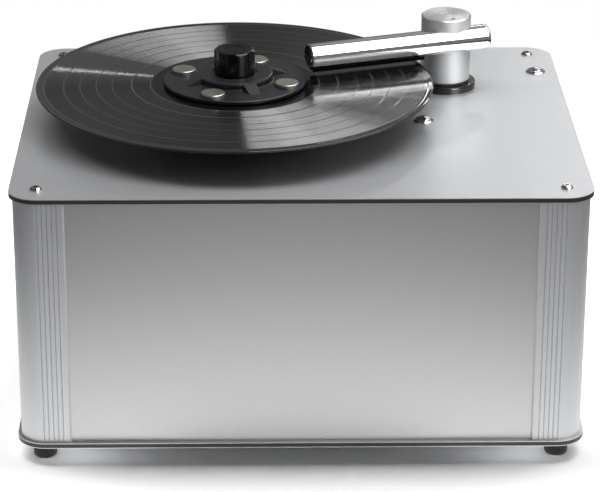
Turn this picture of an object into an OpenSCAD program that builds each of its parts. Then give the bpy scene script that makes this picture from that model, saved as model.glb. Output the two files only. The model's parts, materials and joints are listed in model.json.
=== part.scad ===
// Record cleaning machine: a box of four fluted corner extrusions between two sandwich
// plates, with a driven platter, a lift-off magnetic clamp and a swinging suction arm.
// Millimetres. X is right, Y is away from the front, Z is up. The origin is the centre of
// the footprint, on the floor under the feet.

/* [Case] */
// Width of the two plates
case_w = 416; // [408:1:440]
// Depth of the two plates
case_d = 338; // [332:1:370]
// Corner radius of the plates
plate_r = 21; // [19:0.5:24]
// Thickness of a plate's black core
core_t = 3; // [2:0.5:4]
// Thickness of each aluminium skin
skin_t = 0.5; // [0.3:0.1:0.8]
// How far the plates reach past the extrusions
overhang = 2.5; // [1.5:0.5:3.5]
// Length of the corner extrusions
profile_h = 187; // [184:1:210]
// Thickness of the four wall panels
panel_t = 2; // [1.5:0.5:2.5]
// Step from the face of an extrusion back to the face of a panel
panel_step = 1.5; // [1:0.1:2]

/* [Corner extrusion] */
// Length of each leg, from the outer face
leg_len = 37.7; // [36.5:0.1:42]
// Wall thickness
leg_wall = 2.2; // [1.8:0.1:2.6]
// Distance from the outer face to the first groove
groove_first = 18.1; // [18:0.1:19]
// Spacing of the grooves
groove_pitch = 3.5; // [3:0.1:3.8]
// Width of a groove
groove_w = 1; // [0.6:0.1:1.2]
// Depth of a groove
groove_depth = 0.5; // [0.3:0.1:0.8]
// Number of grooves on each leg
groove_count = 5; // [3:1:5]
// Bevel at the end of a leg
leg_bevel = 1.1; // [0.6:0.1:1.3]
// Depth of the slot that holds a panel's edge
slot_depth = 6; // [4:0.5:7]
// Thickness of the wall behind that slot
slot_wall = 1.6; // [1.2:0.1:2]
// Radius of the boss that the corner screws bite into
boss_r = 5.2; // [4.6:0.1:6]

/* [Feet and corner screws] */
// Distance of each corner screw from the plate edges
screw_inset = 19.6; // [18.5:0.1:21]
// Diameter of a rubber foot
foot_d = 18; // [15:0.5:20]
// Height of a rubber foot
foot_h = 13.5; // [10:0.5:18]
// Shank diameter of the corner screws
corner_screw_d = 5; // [4:0.5:5.5]
// Head diameter of the corner screws
corner_head_d = 9; // [8:0.5:10]
// Head height of the corner screws
corner_head_h = 2.6; // [2:0.1:3]
// Length of the corner screws below the head
corner_screw_l = 24; // [16:1:30]

/* [Platter] */
// Platter axis, measured from the centre of the case
platter_x = -48.2; // [-52:0.1:-44]
// Platter axis, measured from the centre of the case
platter_y = 6; // [-2:0.1:10]
// Platter diameter
platter_d = 106; // [98:1:108]
// Platter thickness
platter_t = 8; // [6:0.5:9]
// Diameter of the hub under the platter
platter_hub_d = 36; // [30:1:44]
// Height of the record's top face over the top plate
record_rise = 26.4; // [24:0.1:32]
// Thickness of the rubber mat
mat_t = 1.5; // [1:0.1:2]
// Shaft diameter
shaft_d = 10; // [8:0.5:11]
// Diameter of the pin that centres a record
pin_d = 7.1; // [6.9:0.05:7.15]
// Height of that pin over the record
pin_rise = 12; // [9:0.5:14]

/* [Record] */
// Record diameter
record_d = 301; // [299:0.5:302]
// Thickness at the label and at the rim bead
record_t = 1.9; // [1.6:0.1:2.2]
// Thickness of the grooved band
groove_t = 1.3; // [1:0.1:1.5]
// Diameter of the raised label area
label_d = 104; // [100:1:106]
// Width of the raised bead at the rim
bead_w = 3.6; // [2:0.1:5]
// Diameter of the centre hole
record_hole_d = 7.3; // [7.25:0.01:7.4]

/* [Clamp] */
// Clamp disc diameter
clamp_d = 108.2; // [100:0.1:110]
// Clamp disc thickness
clamp_t = 2.9; // [2.5:0.1:3.6]
// Thickness of the rubber seal that shows under the disc
seal_show = 0.5; // [0.3:0.1:0.8]
// Diameter of the raised hub
clamp_hub_d = 58; // [52:1:60]
// Height of the hub over the disc
clamp_hub_h = 5; // [4:0.1:7]
// Radius reached by the four sloping ribs
ramp_reach = 41; // [38:0.5:44]
// Width of a sloping rib at the hub
ramp_w = 10.2; // [8:0.1:12]
// Diameter of the magnets
magnet_d = 18; // [14:0.5:19]
// Thickness of the magnets
magnet_t = 3; // [2:0.5:4]
// Radius of the circle that the magnets lie on
magnet_ring_r = 42.4; // [41:0.1:43]
// How far a magnet stands over the disc
magnet_proud = 2.4; // [1:0.1:2.5]
// Diameter of the clamp knob
knob_d = 31.4; // [28:0.1:34]
// Height of the clamp knob over the hub
knob_h = 18.6; // [15:0.1:22]
// Number of finger flutes round the knob
knob_flutes = 6; // [5:1:8]
// Diameter of the cap in the knob's top
knob_cap_d = 14; // [10:0.5:16]

/* [Platter drive] */
// Gear module
gear_m = 1; // [0.9:0.05:1.1]
// Teeth on the platter gear
gear_teeth = 60; // [54:1:66]
// Teeth on the motor pinion
pinion_teeth = 20; // [18:1:22]
// Width of the gears
gear_t = 8; // [6:0.5:10]
// Depth of the drive space under the top plate
drive_gap = 42; // [40:1:50]
// Diameter of the motor
motor_d = 36; // [30:1:38]
// Length of the motor
motor_l = 57; // [50:1:60]
// Length of the gearbox
gearbox_l = 30; // [24:1:34]

/* [Suction arm] */
// Gap between the record's rim and the pillar
pillar_clear = 8.7; // [7:0.1:14]
// Direction from the platter's axis to the pillar's axis, in degrees
pillar_bearing = 22.74; // [20:0.01:25]
// Pillar diameter
pillar_d = 38.6; // [37:0.1:40]
// Height of the pillar's top over the top plate
pillar_rise = 58.4; // [56.5:0.1:64]
// Angle of the arm tube from the X axis
arm_angle = 19.1; // [17:0.1:22]
// Diameter of the arm tube
tube_d = 20; // [18:0.1:21]
// Wall of the arm tube
tube_wall = 1.5; // [1:0.1:2]
// Height of the tube's axis over the top plate
tube_rise = 40.7; // [40.6:0.1:44]
// Distance of the tube's axis in front of the pillar's axis
tube_offset = 12.6; // [12:0.1:13.5]
// Gap between the clamp and the tip of the tube
tip_gap = 4.8; // [3:0.1:14]
// Length of tube on the other side of the pillar
arm_tail = 29.1; // [26:0.1:40]
// Travel of the arm down on to the record
arm_drop = 1.8; // [1:0.1:1.9]
// Thickness of the velvet strips under the tube
strip_t = 2.2; // [1.5:0.1:2.2]
// Width of each velvet strip
strip_w = 3; // [2:0.1:4]
// Width of the suction slot
suction_w = 3; // [2:0.1:3.4]

/* [Arm guide] */
// Diameter of the guide flange
flange_d = 48; // [46.5:0.5:52]
// Thickness of the guide flange
flange_t = 5; // [4:0.1:5]
// Diameter of the guide's barrel
barrel_d = 38; // [37:0.5:38]
// Bore of the guide
guide_bore_d = 33; // [32:0.5:33.5]
// Diameter of the pillar's spigot
spigot_d = 22; // [20:0.5:23]
// Bore of the spigot
duct_d = 14; // [10:0.5:15]
// Length of the guide below the top plate
barrel_l = 52; // [48:1:56]
// Length of the lift spring with the arm raised
spring_l = 18; // [15:0.5:20]
// Wire diameter of the lift spring
spring_wire = 1.8; // [1.2:0.1:2]
// Turns of the lift spring
spring_turns = 4.5; // [3.5:0.5:5.5]

/* [Push buttons] */
// Place of the drive button, measured from the centre of the case
drive_button_x = 94.8; // [90:0.1:98]
// Place of the drive button, measured from the centre of the case
drive_button_y = -8; // [-30:0.1:-5]
// Distance of the suction button from the right edge of the plate
suction_button_in = 16.7; // [15:0.1:24]
// Place of the suction button, measured from the centre of the case
suction_button_y = 106; // [60:0.1:120]
// Diameter of a button's bezel
bezel_d = 15.7; // [14.5:0.1:18]
// Height of a button's bezel
bezel_h = 1.6; // [1:0.1:2]
// Diameter of the domed cap
button_d = 11.6; // [9:0.1:12]
// Height of the cap over the bezel
button_rise = 2.2; // [1.9:0.1:3]
// Travel of a button
button_travel = 1.6; // [1:0.1:1.8]

/* [Suction unit] */
// Width of the fluid tank
tank_w = 190; // [180:1:196]
// Depth of the fluid tank
tank_d = 135; // [128:1:138]
// Height of the fluid tank
tank_h = 70; // [50:1:74]
// Wall of the fluid tank
tank_wall = 3; // [2:0.5:4]
// Thickness of the tank's lid
lid_t = 4; // [3:0.5:6]
// Diameter of the turbine housing
turbine_d = 84; // [76:1:88]
// Height of the turbine housing
turbine_h = 32; // [28:1:36]
// Diameter of the turbine's motor
turbine_motor_d = 58; // [50:1:64]
// Height of the turbine's motor
turbine_motor_h = 50; // [40:1:56]

/* [Rear fittings] */
// Centre of the mains inlet
inlet_x = -110; // [-120:1:-90]
// Centre of the mains inlet
inlet_z = 80; // [60:1:110]
// Height of the inlet's bezel
inlet_h = 76; // [72:1:80]
// Width of the inlet's bezel
inlet_w = 32; // [31:0.5:36]
// Thickness of the inlet's bezel
inlet_t = 2.4; // [2:0.1:2.6]
// Distance of the drain port from the leg of the extrusion
drain_in = 18; // [15:1:50]
// Diameter of the drain plug's head
plug_d = 22; // [20:0.5:26]
// Width of the exhaust grille
grille_w = 96; // [90:1:110]
// Height of the exhaust grille
grille_h = 44; // [42:1:56]

/* [Hidden] */
$fn = 72;
eps = 0.02;
// How far a cut runs past the face that it opens
cut = 1;
// How much smaller than the screw a tapped hole is
tap = 0.8;
// How much larger than the screw a plain hole is
clear = 0.4;
// Gap between a shank and its tapped hole
thread_gap = 0.05;
// Clearance of a piece in its hole where both belong to one body
fit = 0.05;
// Radial clearance of a shaft in a bush
run = 0.04;
// Radial clearance of a sliding piece
slide = 0.1;
// Gap left at a seat between two bodies
seat = 0.3;

black = "#1a1a1c";
anodised = "#c9cbcd";
bright = "#dcdee0";
steel = "#b6b8ba";
brass = "#c5a45a";
rubber = "#161616";
nylon = "#e6e4dc";

// Levels
plate_t = core_t + 2 * skin_t;
base_z = foot_h;
floor_z = base_z + plate_t;
roof_z = floor_z + profile_h;
deck_z = roof_z + plate_t;

// Plan of the case
out_x = case_w / 2 - overhang;
out_y = case_d / 2 - overhang;
screw_x = case_w / 2 - screw_inset;
screw_y = case_d / 2 - screw_inset;
slot_gap = 0.1;
slot_w = panel_t + 2 * slot_gap;
slot_front = panel_step - slot_gap;
panel_in_slot = slot_depth - 0.5;
panel_w = 2 * (out_x - leg_len + panel_in_slot);
panel_d = 2 * (out_y - leg_len + panel_in_slot);
panel_end_gap = 0.1;
panel_h = profile_h - 2 * panel_end_gap;
face_x = out_x - panel_step;
face_y = out_y - panel_step;

// Corner screws
corner_tap_d = corner_screw_d - tap;
corner_hole_d = corner_screw_d + clear;
corner_head_edge = 0.8;
corner_at = overhang - screw_inset;
corner_socket = 3;
web_t = 3;
foot_recess_d = corner_head_d + 1;
foot_recess_h = 5;
foot_round = 2;
foot_taper = 0.3;

// Platter stack, from the record's top face down
record_z = deck_z + record_rise;
record_low = record_z - record_t;
mat_z = record_low - mat_t;
platter_z = mat_z - platter_t;
bush_flange_d = 30;
bush_flange_t = 3;
bush_d = 16;
bush_l = 16;
platter_low = deck_z + bush_flange_t + seat;
magnet_pocket_d = 12;
magnet_pocket_t = 3;

// Drive, under the top plate
drive_z = roof_z - drive_gap;
motor_plate_t = 3;
motor_plate_z = drive_z - motor_plate_t;
motor_plate_margin = 8;
motor_plate_round = 6;
standoff_pitch = 76;
standoff_d = 8;
motor_screw_d = 4;
motor_head_d = 8;
motor_head_h = 2;
motor_screw_l = 10;
motor_tap_d = motor_screw_d - tap;
motor_socket = 2.5;
motor_end_d = 12;
motor_end_h = 4;
gear_lift = 2.5;
gear_z = drive_z + bush_flange_t + gear_lift;
gear_top = gear_z + gear_t;
gear_hub_d = 20;
gear_hub_h = 8;
set_screw_d = 3;
pressure_angle = 20;
tooth_play = 0.044;
root_ratio = 1.2;
tip_ratio = 0.92;
gear_centres = gear_m * (gear_teeth + pinion_teeth) / 2;
pinion_x = platter_x - gear_centres;
output_d = 6;
gearbox_d = motor_d + 1;
shaft_end = 12;
shaft_in_platter = 3;
spindle_low = motor_plate_z - shaft_end;
spindle_step = mat_z - shaft_in_platter;
output_low = motor_plate_z - gearbox_l / 2;
platter_chamfer = 3;
pin_point = 1;
mat_margin = 1;
magnet_turn = 67.5;
ramp_turn = 22.5;
bead_slope = 1;
rim_round = 0.5;
pin_z = record_z + pin_rise;

// Clamp, from the record's top face up
clamp_z = record_z + seal_show;
clamp_top = clamp_z + clamp_t;
clamp_hub_z = clamp_top + clamp_hub_h;
seal_in = 2;
seal_w = 8;
seal_d = label_d - 2 * seal_in;
seal_bore_d = seal_d - 2 * seal_w;
seal_depth = 1;
record_gap = 0.05;
disc_edge = 0.5;
hub_foot = 1;
hub_round = 1.5;
ramp_root = 3;
magnet_chamfer = 0.5;
magnet_low = clamp_top + magnet_proud - magnet_t;
knob_foot_ring = 1.8;
knob_seat = 0.8;
knob_z = clamp_hub_z - knob_seat;
knob_top = clamp_hub_z + knob_h;
pin_bore_d = pin_d + 0.18;
ramp_end_w = 0.82 * ramp_w;
knob_screw_ring = 10;
knob_screw_d = 3;
knob_screw_head = 5.6;
knob_screw_head_h = 1.8;
knob_screw_bite = 6;
knob_socket = 2;
pin_end_gap = 1.5;
knob_cap_t = 1.6;
knob_cap_sink = 0.5;
flute_r = 14;
flute_cut = 1.5;
flute_turn = -8;
flute_low = 2.5;

// Arm
pillar_out = (record_d + pillar_d) / 2 + pillar_clear;
pillar_x = platter_x + pillar_out * cos(pillar_bearing);
pillar_y = platter_y + pillar_out * sin(pillar_bearing);
arm_reach = pillar_out * cos(pillar_bearing - arm_angle) - clamp_d / 2 - tip_gap;
stop_gap = 0.2;
pillar_edge = 0.8;
pillar_foot_edge = 0.4;
ring_depth = 0.6;
pillar_gap = flange_t + arm_drop + stop_gap;
tube_z = deck_z + tube_rise;
tube_r = tube_d / 2;
pillar_z = deck_z + pillar_gap;
pillar_top = deck_z + pillar_rise;
strip_start = 2.5;
strip_stop = 5;
strip_end = arm_reach - pillar_d / 2 - strip_stop;
slot_margin = 1.5;
slot_start = strip_start + slot_margin;
slot_end = strip_end - slot_margin;
strip_mid = suction_w / 2 + strip_w / 2 + 0.2;
strip_sink = 3;
duct_step = 2;
tube_cap_t = 4;
tube_cap_sink = 1.2;
arm_screw_d = 5;
arm_screw_sink = 1;
arm_socket = 2.5;

// Arm guide
barrel_low = roof_z - barrel_l;
guide_hole_d = barrel_d + 0.4;
sleeve_d = guide_bore_d - slide;
sleeve_bore_d = spigot_d + slide;
sleeve_low = barrel_low + spring_l;
sleeve_gap = 0.1;
cap_wall = 3;
cap_floor = 12;
cap_lap = 4;
cap_low = barrel_low - cap_floor;
gland_depth = 8;
spigot_low = barrel_low - gland_depth / 2;
barb_d = 17;
barb_bore_d = 13;
barb_l = 22;
ring_d = spigot_d + 4;
ring_t = 1.8;
ring_low = sleeve_low - stop_gap - ring_t;
barb_step = 4;
barb_ridge = 1.2;
flange_round = 1;
flange_screw_ring = 20.6;
flange_screw_d = 2.5;
flange_head_d = 4.6;
flange_head_h = 1.7;
flange_screw_l = 9;
flange_socket = 2;
first_flange_screw = -34;

// Buttons, [x, y]
drive_button_at = [drive_button_x, drive_button_y];
suction_button_at = [case_w / 2 - suction_button_in, suction_button_y];
button_body_d = bezel_d - 3;
button_body_l = 18;
button_nut_d = bezel_d + 2;
button_nut_t = 3;
button_well = 12;
bezel_edge = 0.6;
bezel_slope = 1;
button_skirt = 0.6;
button_end_gap = 0.4;

// Suction unit
tank_side_gap = 24;
tank_rear_gap = 6;
tank_x = out_x - tank_side_gap - tank_w;
tank_y = face_y - panel_t - tank_rear_gap - tank_d;
lid_z = floor_z + tank_h;
turbine_margin = 5;
turbine_rear = 3;
turbine_x = tank_x + turbine_margin + turbine_d / 2;
turbine_y = tank_y + tank_d - turbine_d / 2 - turbine_rear;
turbine_z = lid_z + lid_t;
turbine_wall = 3;
turbine_motor_z = turbine_z + turbine_h;
inlet_eye_d = 30;
impeller_gap = 3;
impeller_d = turbine_d - 2 * turbine_wall - 2 * impeller_gap;
impeller_t = 12;
impeller_z = turbine_z + turbine_wall + impeller_gap;
impeller_shaft_d = 6;
impeller_shaft_in = 10;
impeller_plate = 2;
impeller_hub_d = 14;
blade_t = 1.4;
blades = 9;
exhaust_w = 40;
exhaust_h = 20;
exhaust_wall = 2;
lid_barb_h = 12;
hose_wall = 3;

// Rear fittings
rear_in = face_y - panel_t;
panel_gap = 0.2;
inlet_body_w = inlet_w - 5;
inlet_body_h = inlet_h - 8;
inlet_body_d = 24;
inlet_face = face_y + inlet_t;
contact_w = 2;
contact_h = 4;
contact_side = 7;
contact_low = 2;
contact_high = 3;
contacts = [[-contact_side, -contact_low], [0, contact_high], [contact_side, -contact_low]];
socket_w = 24;
socket_h = 17;
socket_down = 18;
socket_z = inlet_z - socket_down;
socket_deep = 17;
fuse_w = 20;
fuse_h = 9;
fuse_up = 2;
fuse_z = inlet_z + fuse_up;
fuse_deep = 19;
fuse_lip = 0.8;
fuse_wall = 2;
rocker_w = 18;
rocker_h = 22;
rocker_up = 22;
rocker_z = inlet_z + rocker_up;
rocker_tilt = 7;
rocker_axis = 6;
rocker_deep = 14;
rocker_end_gap = 1;
drain_x = out_x - leg_len - drain_in;
drain_up = 16;
drain_z = floor_z + drain_up;
drain_d = 16;
drain_bore_d = 9;
drain_flange = 1.2;
drain_bore_l = 40;
drain_face = face_y + drain_flange;
plug_gap = 0.1;
plug_head = 2.4;
plug_l = 7;
plug_grips = 12;
grille_t = 2;
grille_slots = 9;
grille_margin = 5;
grille_open_w = grille_w - 2 * grille_margin;
grille_open_h = grille_h - 2 * grille_margin;
grille_x = turbine_x;
grille_z = turbine_z + turbine_h / 2;
board_w = 70;
board_d = 110;
board_gap = 21;
board_x = board_gap + board_w / 2 - out_x;
board_y = board_gap + board_d / 2 - out_y;
board_rise = 8;
board_t = 1.6;
board_post_in = 5;
board_post_d = 7;
transformer_w = 44;
transformer_d = 48;
transformer_h = 36;
transformer_shift = 15;
capacitor_d = 14;
capacitor_h = 25;

// Helpers

// Outline of a rounded rectangle, centred, with true arcs at its corners
module round_rect(w, d, r) {
    square([w - 2 * r, d], center = true);
    square([w, d - 2 * r], center = true);
    for (sx = [-1, 1], sy = [-1, 1])
        translate([sx * (w / 2 - r), sy * (d / 2 - r)]) circle(r);
}

// A ring or tube standing on z, with outer diameter d and bore b
module ring(d, b, z, h) {
    translate([0, 0, z])
        difference() {
            cylinder(d = d, h = h);
            translate([0, 0, -cut]) cylinder(d = b, h = h + 2 * cut);
        }
}

module at_corners(x, y) {
    for (sx = [-1, 1], sy = [-1, 1]) translate([sx * x, sy * y, 0]) children();
}

module at_platter() {
    translate([platter_x, platter_y, 0]) children();
}

module at_pillar() {
    translate([pillar_x, pillar_y, 0]) rotate(arm_angle) children();
}

module at_turbine() {
    translate([turbine_x, turbine_y, 0]) children();
}

// A hexagon hole of a given key size, from z up
module hex_hole(key, z, h) {
    translate([0, 0, z]) cylinder(d = key / cos(30), h = h, $fn = 6);
}

// Holes of the top plate, in plan
module top_holes() {
    at_corners(screw_x, screw_y) circle(d = corner_hole_d);
    translate([platter_x, platter_y]) {
        circle(d = bush_d + 2 * fit);
        for (sx = [-1, 1], sy = [-1, 1])
            translate([sx, sy] * standoff_pitch / 2) circle(d = motor_screw_d + clear);
    }
    translate([pillar_x, pillar_y]) circle(d = guide_hole_d);
    for (at = [drive_button_at, suction_button_at]) translate(at) circle(d = button_body_d + clear);
    translate([pillar_x, pillar_y])
        for (a = [0 : 120 : 359])
            rotate(first_flange_screw + a)
                translate([flange_screw_ring, 0]) circle(d = flange_screw_d - tap + thread_gap);
}

// Holes of the base plate, in plan
module base_holes() {
    at_corners(screw_x, screw_y) circle(d = corner_hole_d);
}

// Case

module base_core() {
    color(black)
        translate([0, 0, base_z + skin_t])
            linear_extrude(core_t) difference() {
                round_rect(case_w, case_d, plate_r);
                base_holes();
            }
}

module base_skins() {
    color(anodised)
        for (z = [base_z, base_z + skin_t + core_t])
            translate([0, 0, z])
                linear_extrude(skin_t) difference() {
                    round_rect(case_w, case_d, plate_r);
                    base_holes();
                }
}

module top_core() {
    color(black)
        translate([0, 0, roof_z + skin_t])
            linear_extrude(core_t) difference() {
                round_rect(case_w, case_d, plate_r);
                top_holes();
            }
}

module top_skins() {
    color(anodised)
        for (z = [roof_z, roof_z + skin_t + core_t])
            translate([0, 0, z])
                linear_extrude(skin_t) difference() {
                    round_rect(case_w, case_d, plate_r);
                    top_holes();
                }
}

// Section of the extrusion at the right rear corner, with the outer corner at (out_x, out_y)
module profile_section() {
    bend_r = plate_r - overhang;
    inner_r = bend_r - leg_wall;
    slot_back = slot_front + slot_w + slot_wall;
    web_l = bend_r - leg_wall / 2 - sqrt(2) * (bend_r + corner_at);
    difference() {
        union() {
            // outer skin with its round corner
            difference() {
                union() {
                    translate([-leg_len, -bend_r]) square([leg_len - bend_r, bend_r]);
                    translate([-bend_r, -leg_len]) square([bend_r, leg_len - bend_r]);
                    translate([-bend_r, -bend_r]) intersection() {
                        circle(bend_r);
                        square(bend_r);
                    }
                }
                translate([-leg_len - cut, -leg_len - cut])
                    square([leg_len + cut - bend_r, leg_len + cut - leg_wall]);
                translate([-leg_len - cut, -leg_len - cut])
                    square([leg_len + cut - leg_wall, leg_len + cut - bend_r]);
                translate([-bend_r - eps, -bend_r - eps]) intersection() {
                    circle(inner_r + eps);
                    square(inner_r + cut);
                }
            }
            // thick ends that hold the panels
            translate([-leg_len, -slot_back]) square([slot_depth + slot_wall, slot_back]);
            translate([-slot_back, -leg_len]) square([slot_back, slot_depth + slot_wall]);
            // screw boss and its web
            translate([corner_at, corner_at]) {
                circle(boss_r);
                rotate(45) translate([0, -web_t / 2]) square([web_l, web_t]);
            }
        }
        translate([corner_at, corner_at]) circle(d = corner_tap_d);
        // panel slots
        translate([-leg_len - cut, -slot_front - slot_w]) square([slot_depth + cut, slot_w]);
        translate([-slot_front - slot_w, -leg_len - cut]) square([slot_w, slot_depth + cut]);
        for (turn = [0, 1]) mirror([turn, -turn]) leg_cuts();
    }
}

// The V grooves and the end bevel of the leg that runs along X
module leg_cuts() {
    for (i = [0 : groove_count - 1])
        translate([-groove_first - i * groove_pitch, 0])
            polygon([[-groove_w / 2, eps], [0, -groove_depth], [groove_w / 2, eps]]);
    translate([-leg_len, 0])
        polygon([[-eps, eps], [-eps, -leg_bevel], [leg_bevel, eps]]);
}

module corner_profile(sx, sy) {
    color(anodised)
        mirror([sx < 0 ? 1 : 0, 0, 0]) mirror([0, sy < 0 ? 1 : 0, 0])
            translate([out_x, out_y, floor_z]) linear_extrude(profile_h) profile_section();
}

module profile_fl() { corner_profile(-1, -1); }

module profile_fr() { corner_profile(1, -1); }

module profile_bl() { corner_profile(-1, 1); }

module profile_br() { corner_profile(1, 1); }

// A wall panel across X, its outer face at y
module wall_x(y, w) {
    translate([-w / 2, y > 0 ? y - panel_t : y, floor_z + panel_end_gap]) cube([w, panel_t, panel_h]);
}

module front_panel() {
    color(anodised) wall_x(-face_y, panel_w);
}

module rear_panel() {
    color(anodised)
        difference() {
            wall_x(face_y, panel_w);
            translate([inlet_x, face_y, inlet_z])
                cube([inlet_body_w + clear, 3 * panel_t, inlet_body_h + clear], center = true);
            translate([drain_x, face_y + panel_t, drain_z])
                rotate([90, 0, 0]) cylinder(d = drain_d + clear, h = 3 * panel_t);
            translate([grille_x, face_y, grille_z])
                cube([grille_open_w, 3 * panel_t, grille_open_h], center = true);
        }
}

module side_panel(s) {
    translate([s > 0 ? face_x - panel_t : -face_x, -panel_d / 2, floor_z + panel_end_gap])
        cube([panel_t, panel_d, panel_h]);
}

module left_panel() {
    color(anodised) side_panel(-1);
}

module right_panel() {
    color(anodised) side_panel(1);
}

module feet() {
    r = foot_d / 2;
    low_r = r - foot_taper;
    color(rubber)
        at_corners(screw_x, screw_y)
            difference() {
                rotate_extrude() {
                    polygon([
                        [0, 0], [low_r - foot_round, 0], [low_r - foot_round, foot_round],
                        [low_r, foot_round], [r, foot_h], [0, foot_h]
                    ]);
                    translate([low_r - foot_round, foot_round]) intersection() {
                        circle(foot_round);
                        translate([0, -foot_round]) square(foot_round);
                    }
                }
                translate([0, 0, -cut]) cylinder(d = foot_recess_d, h = foot_recess_h + cut);
                cylinder(d = corner_hole_d, h = foot_h + cut);
            }
}

// A screw with a low round head: its shank runs down from z and its head stands above z
module button_screw(z) {
    edge = corner_head_edge;
    dome = corner_head_h - edge;
    difference() {
        union() {
            translate([0, 0, z - corner_screw_l]) cylinder(d = corner_tap_d - thread_gap, h = corner_screw_l);
            translate([0, 0, z]) rotate_extrude()
                polygon([
                    [0, 0], [corner_head_d / 2, 0], [corner_head_d / 2, edge],
                    [corner_head_d / 2 - 0.5, edge + 0.45 * dome],
                    [corner_head_d / 2 - 1.4, edge + 0.85 * dome],
                    [corner_head_d / 2 - 2.2, corner_head_h], [0, corner_head_h]
                ]);
        }
        hex_hole(corner_socket, z + edge, corner_head_h);
    }
}

module foot_screws() {
    color(steel)
        at_corners(screw_x, screw_y)
            translate([0, 0, foot_recess_h]) mirror([0, 0, 1]) button_screw(0);
}

module top_screws() {
    color(steel) at_corners(screw_x, screw_y) button_screw(deck_z);
}

// Platter drive

// Two equal flanged bushes: one in the top plate, one in the motor plate
module spindle_bushes() {
    color(nylon)
        at_platter()
            for (z = [deck_z, drive_z]) {
                ring(bush_flange_d, shaft_d + 2 * run, z, bush_flange_t);
                ring(bush_d, shaft_d + 2 * run, z - bush_l, bush_l);
            }
}

module motor_plate() {
    motor_plate_w = standoff_pitch + 2 * motor_plate_margin;
    color(steel)
        difference() {
            translate([0, 0, motor_plate_z]) linear_extrude(motor_plate_t) difference() {
                union() {
                    translate([platter_x, platter_y])
                        round_rect(motor_plate_w, motor_plate_w, motor_plate_round);
                    translate([pinion_x, platter_y]) circle(d = gearbox_d + motor_plate_margin);
                }
                translate([platter_x, platter_y]) {
                    circle(d = bush_d + 2 * fit);
                    for (sx = [-1, 1], sy = [-1, 1])
                        translate([sx, sy] * standoff_pitch / 2) circle(d = motor_screw_d + clear);
                }
                translate([pinion_x, platter_y]) circle(d = output_d + 4 * clear);
            }
        }
}

module motor_standoffs() {
    color(steel)
        at_platter() at_corners(standoff_pitch / 2, standoff_pitch / 2)
            ring(standoff_d, motor_tap_d + thread_gap, drive_z, drive_gap);
}

// Flat-headed screws into the standoffs, from above and from below
module motor_screws() {
    color(steel)
        at_platter() at_corners(standoff_pitch / 2, standoff_pitch / 2) {
            translate([0, 0, deck_z]) difference() {
                union() {
                    translate([0, 0, -plate_t - motor_screw_l])
                        cylinder(d = motor_tap_d, h = plate_t + motor_screw_l);
                    cylinder(d = motor_head_d, h = motor_head_h);
                }
                hex_hole(motor_socket, motor_head_h / 3, motor_head_h);
            }
            translate([0, 0, motor_plate_z]) difference() {
                union() {
                    cylinder(d = motor_tap_d, h = motor_plate_t + motor_screw_l);
                    translate([0, 0, -motor_head_h]) cylinder(d = motor_head_d, h = motor_head_h);
                }
                hex_hole(motor_socket, -motor_head_h - cut, cut + motor_head_h * 2 / 3);
            }
        }
}

module gearbox() {
    color(steel)
        translate([pinion_x, platter_y, 0]) {
            difference() {
                translate([0, 0, motor_plate_z - gearbox_l]) cylinder(d = gearbox_d, h = gearbox_l);
                translate([0, 0, output_low]) cylinder(d = output_d + 2 * run, h = gearbox_l);
            }
        }
}

module motor_can() {
    low = motor_plate_z - gearbox_l - motor_l;
    color(steel)
        translate([pinion_x, platter_y, 0]) {
            translate([0, 0, low]) cylinder(d = motor_d, h = motor_l);
            translate([0, 0, low - motor_end_h]) cylinder(d = motor_end_d, h = motor_end_h);
        }
}

function inv_deg(a) = tan(a) * 180 / PI - a;

// One flank point of an involute tooth at radius r, on the side s of the tooth's centre line
function flank(teeth, m, r, s, thin) =
    let (
        base_r = m * teeth * cos(pressure_angle) / 2,
        at = acos(min(1, base_r / max(r, base_r))),
        half = 90 / teeth + inv_deg(pressure_angle) - inv_deg(at) - thin
    )
    [r, s * half];

// Outline of a spur gear, with tooth_play taken off each flank
function gear_outline(teeth, m) =
    let (
        root_r = m * (teeth / 2 - root_ratio),
        tip_r = m * (teeth / 2 + tip_ratio),
        base_r = m * teeth * cos(pressure_angle) / 2,
        radii = [root_r, base_r + 0.1 * m, m * teeth / 2, tip_r],
        thin = tooth_play / (m * teeth / 2) * 180 / PI
    )
    [for (i = [0 : teeth - 1])
        for (s = [-1, 1])
            for (k = [0 : 3])
                let (
                    r = radii[s < 0 ? k : 3 - k],
                    p = flank(teeth, m, r, s, thin),
                    a = i * 360 / teeth + p[1]
                )
                p[0] * [cos(a), sin(a)]
    ];

module drive_gear() {
    color(brass)
        at_platter()
            difference() {
                union() {
                    translate([0, 0, gear_z]) linear_extrude(gear_t)
                        rotate(gear_teeth % 2 == 0 ? 0 : 180 / gear_teeth)
                            polygon(gear_outline(gear_teeth, gear_m));
                    translate([0, 0, gear_top]) cylinder(d = gear_hub_d, h = gear_hub_h);
                }
                translate([0, 0, gear_z - cut])
                    cylinder(d = shaft_d + 2 * fit, h = gear_t + gear_hub_h + 2 * cut);
                translate([0, 0, gear_top + gear_hub_h / 2])
                    rotate([90, 0, 0]) cylinder(d = set_screw_d, h = gear_hub_d);
            }
}

module motor_pinion() {
    color(brass)
        translate([pinion_x, platter_y, 0]) {
            translate([0, 0, gear_z]) linear_extrude(gear_t)
                rotate(180 / pinion_teeth) polygon(gear_outline(pinion_teeth, gear_m));
            translate([0, 0, output_low + seat]) cylinder(d = output_d, h = gear_top - output_low);
        }
}

// Platter and record

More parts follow.
